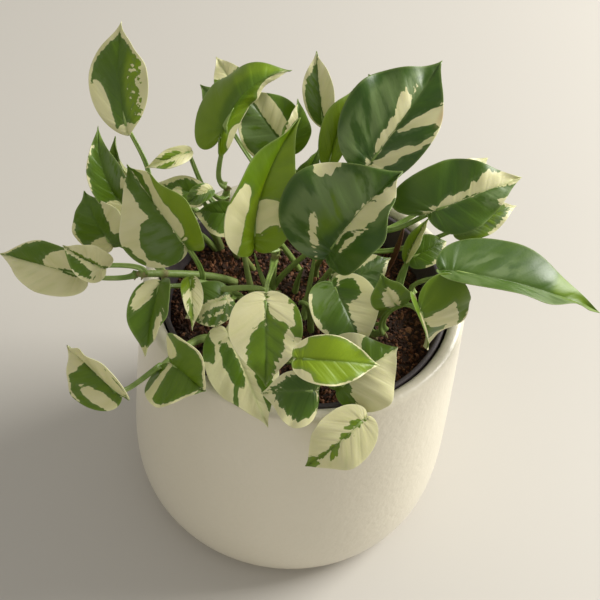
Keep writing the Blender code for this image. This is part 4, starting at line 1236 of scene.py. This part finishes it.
leaf_coat, stem_coat = leaf_finish(), stem_finish()
for number, (vine, (path, *leaves)) in enumerate(VINES.items()):
    shoots = [shoot[1:] for shoot in SHOOTS if shoot[0] == vine]
    stem = add_piece(f"{vine}_stem", stem_mesh(f"{vine}_stem", path, leaves, shoots))
    give_finish(stem, stem_coat)
    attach(stem, "root")
    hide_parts(f"stem_{vine}")
    for count, spec in enumerate(leaves, start=1):
        seed = 100 * number + count
        blade = Blade(**spec["blade"])
        skin = blade_mesh(blade, spec["zones"], spec["tone"], spec["ragged"], seed)
        stalk = stalk_mesh(path, spec["share"], blade, spec["wing"])
        parts = [skin, (*stalk, {"stalk": 1.0, "cream": ALL_GREEN}, NO_VEINS)]
        piece = add_piece(f"{vine}_leaf_{count}", plant_mesh(f"{vine}_leaf_{count}", parts))
        give_finish(piece, leaf_coat)
        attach(piece, "root")
        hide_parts(f"leaf_{vine}_{count}")


# --- Floor, light and camera -----------------------------------------------------------------------
# A plain pale floor, sealed and slightly uneven in tone. Soft daylight from a window comes from
# behind on the right, with a little bounced light from the front.

FLOOR_SIZE = 6.0
FLOOR_DROP = 0.0002
DAYLIGHT, DAYLIGHT_STRENGTH = (1.0, 0.98, 0.94, 1.0), 0.42
CAMERA_PLACE = (-1.8, -312.5, 496.7)
CAMERA_PITCH = math.radians(90 - 49)
CAMERA_ROLL = math.radians(6.73)
CAMERA_LENS, CAMERA_SENSOR = 56.4, 36.0


def floor_finish():
    pale = Finish("pale_floor", IOR=1.45)
    place = pale.node("ShaderNodeTexCoord").outputs["Object"]
    clouds = pale.noise(place, 1.5, 2.0)
    colour = pale.mix(clouds * 0.5 + 0.5, (0.565, 0.537, 0.485), (0.6, 0.573, 0.522))
    return pale.finish(colour, clouds * 0.02 + 0.55)


half = FLOOR_SIZE / 2
floor_mesh = bpy.data.meshes.new("floor")
corners = [(-half, -half), (half, -half), (half, half), (-half, half)]
floor_mesh.from_pydata([(x, y, -FLOOR_DROP) for x, y in corners], [], [(0, 1, 2, 3)])
floor = add_piece("floor", floor_mesh)
give_finish(floor, floor_finish())


def soft_light(name, place, aim, size, power, colour):
    lamp = bpy.data.lights.new(name, "AREA")
    lamp.shape = "SQUARE"
    lamp.size = size
    lamp.energy = power
    lamp.color = colour
    obj = bpy.data.objects.new(name, lamp)
    bpy.context.scene.collection.objects.link(obj)
    obj.location = place
    obj.rotation_euler = (Vector(aim) - Vector(place)).to_track_quat("-Z", "Y").to_euler()


soft_light("window", (1.5, 0.72, 1.15), (0, 0, 0.1), 1.0, 54.0, (1.0, 0.985, 0.95))
soft_light("fill", (-0.9, -1.2, 1.5), (0, 0, 0.1), 1.4, 2.6, (1.0, 0.95, 0.86))

world = bpy.data.worlds.new("room")
world.use_nodes = True
sky = world.node_tree.nodes["Background"].inputs
sky["Color"].default_value, sky["Strength"].default_value = DAYLIGHT, DAYLIGHT_STRENGTH
bpy.context.scene.world = world
bpy.context.scene.view_settings.view_transform = "Standard"

camera_data = bpy.data.cameras.new("camera")
camera_data.lens, camera_data.sensor_width = CAMERA_LENS, CAMERA_SENSOR
camera_data.clip_start = 0.01
camera = bpy.data.objects.new("camera", camera_data)
bpy.context.scene.collection.objects.link(camera)
tilt = Matrix.Rotation(CAMERA_PITCH, 4, "X") @ Matrix.Rotation(CAMERA_ROLL, 4, "Z")
camera.matrix_world = Matrix.Translation(Vector(CAMERA_PLACE) * MM) @ tilt
bpy.context.scene.camera = camera
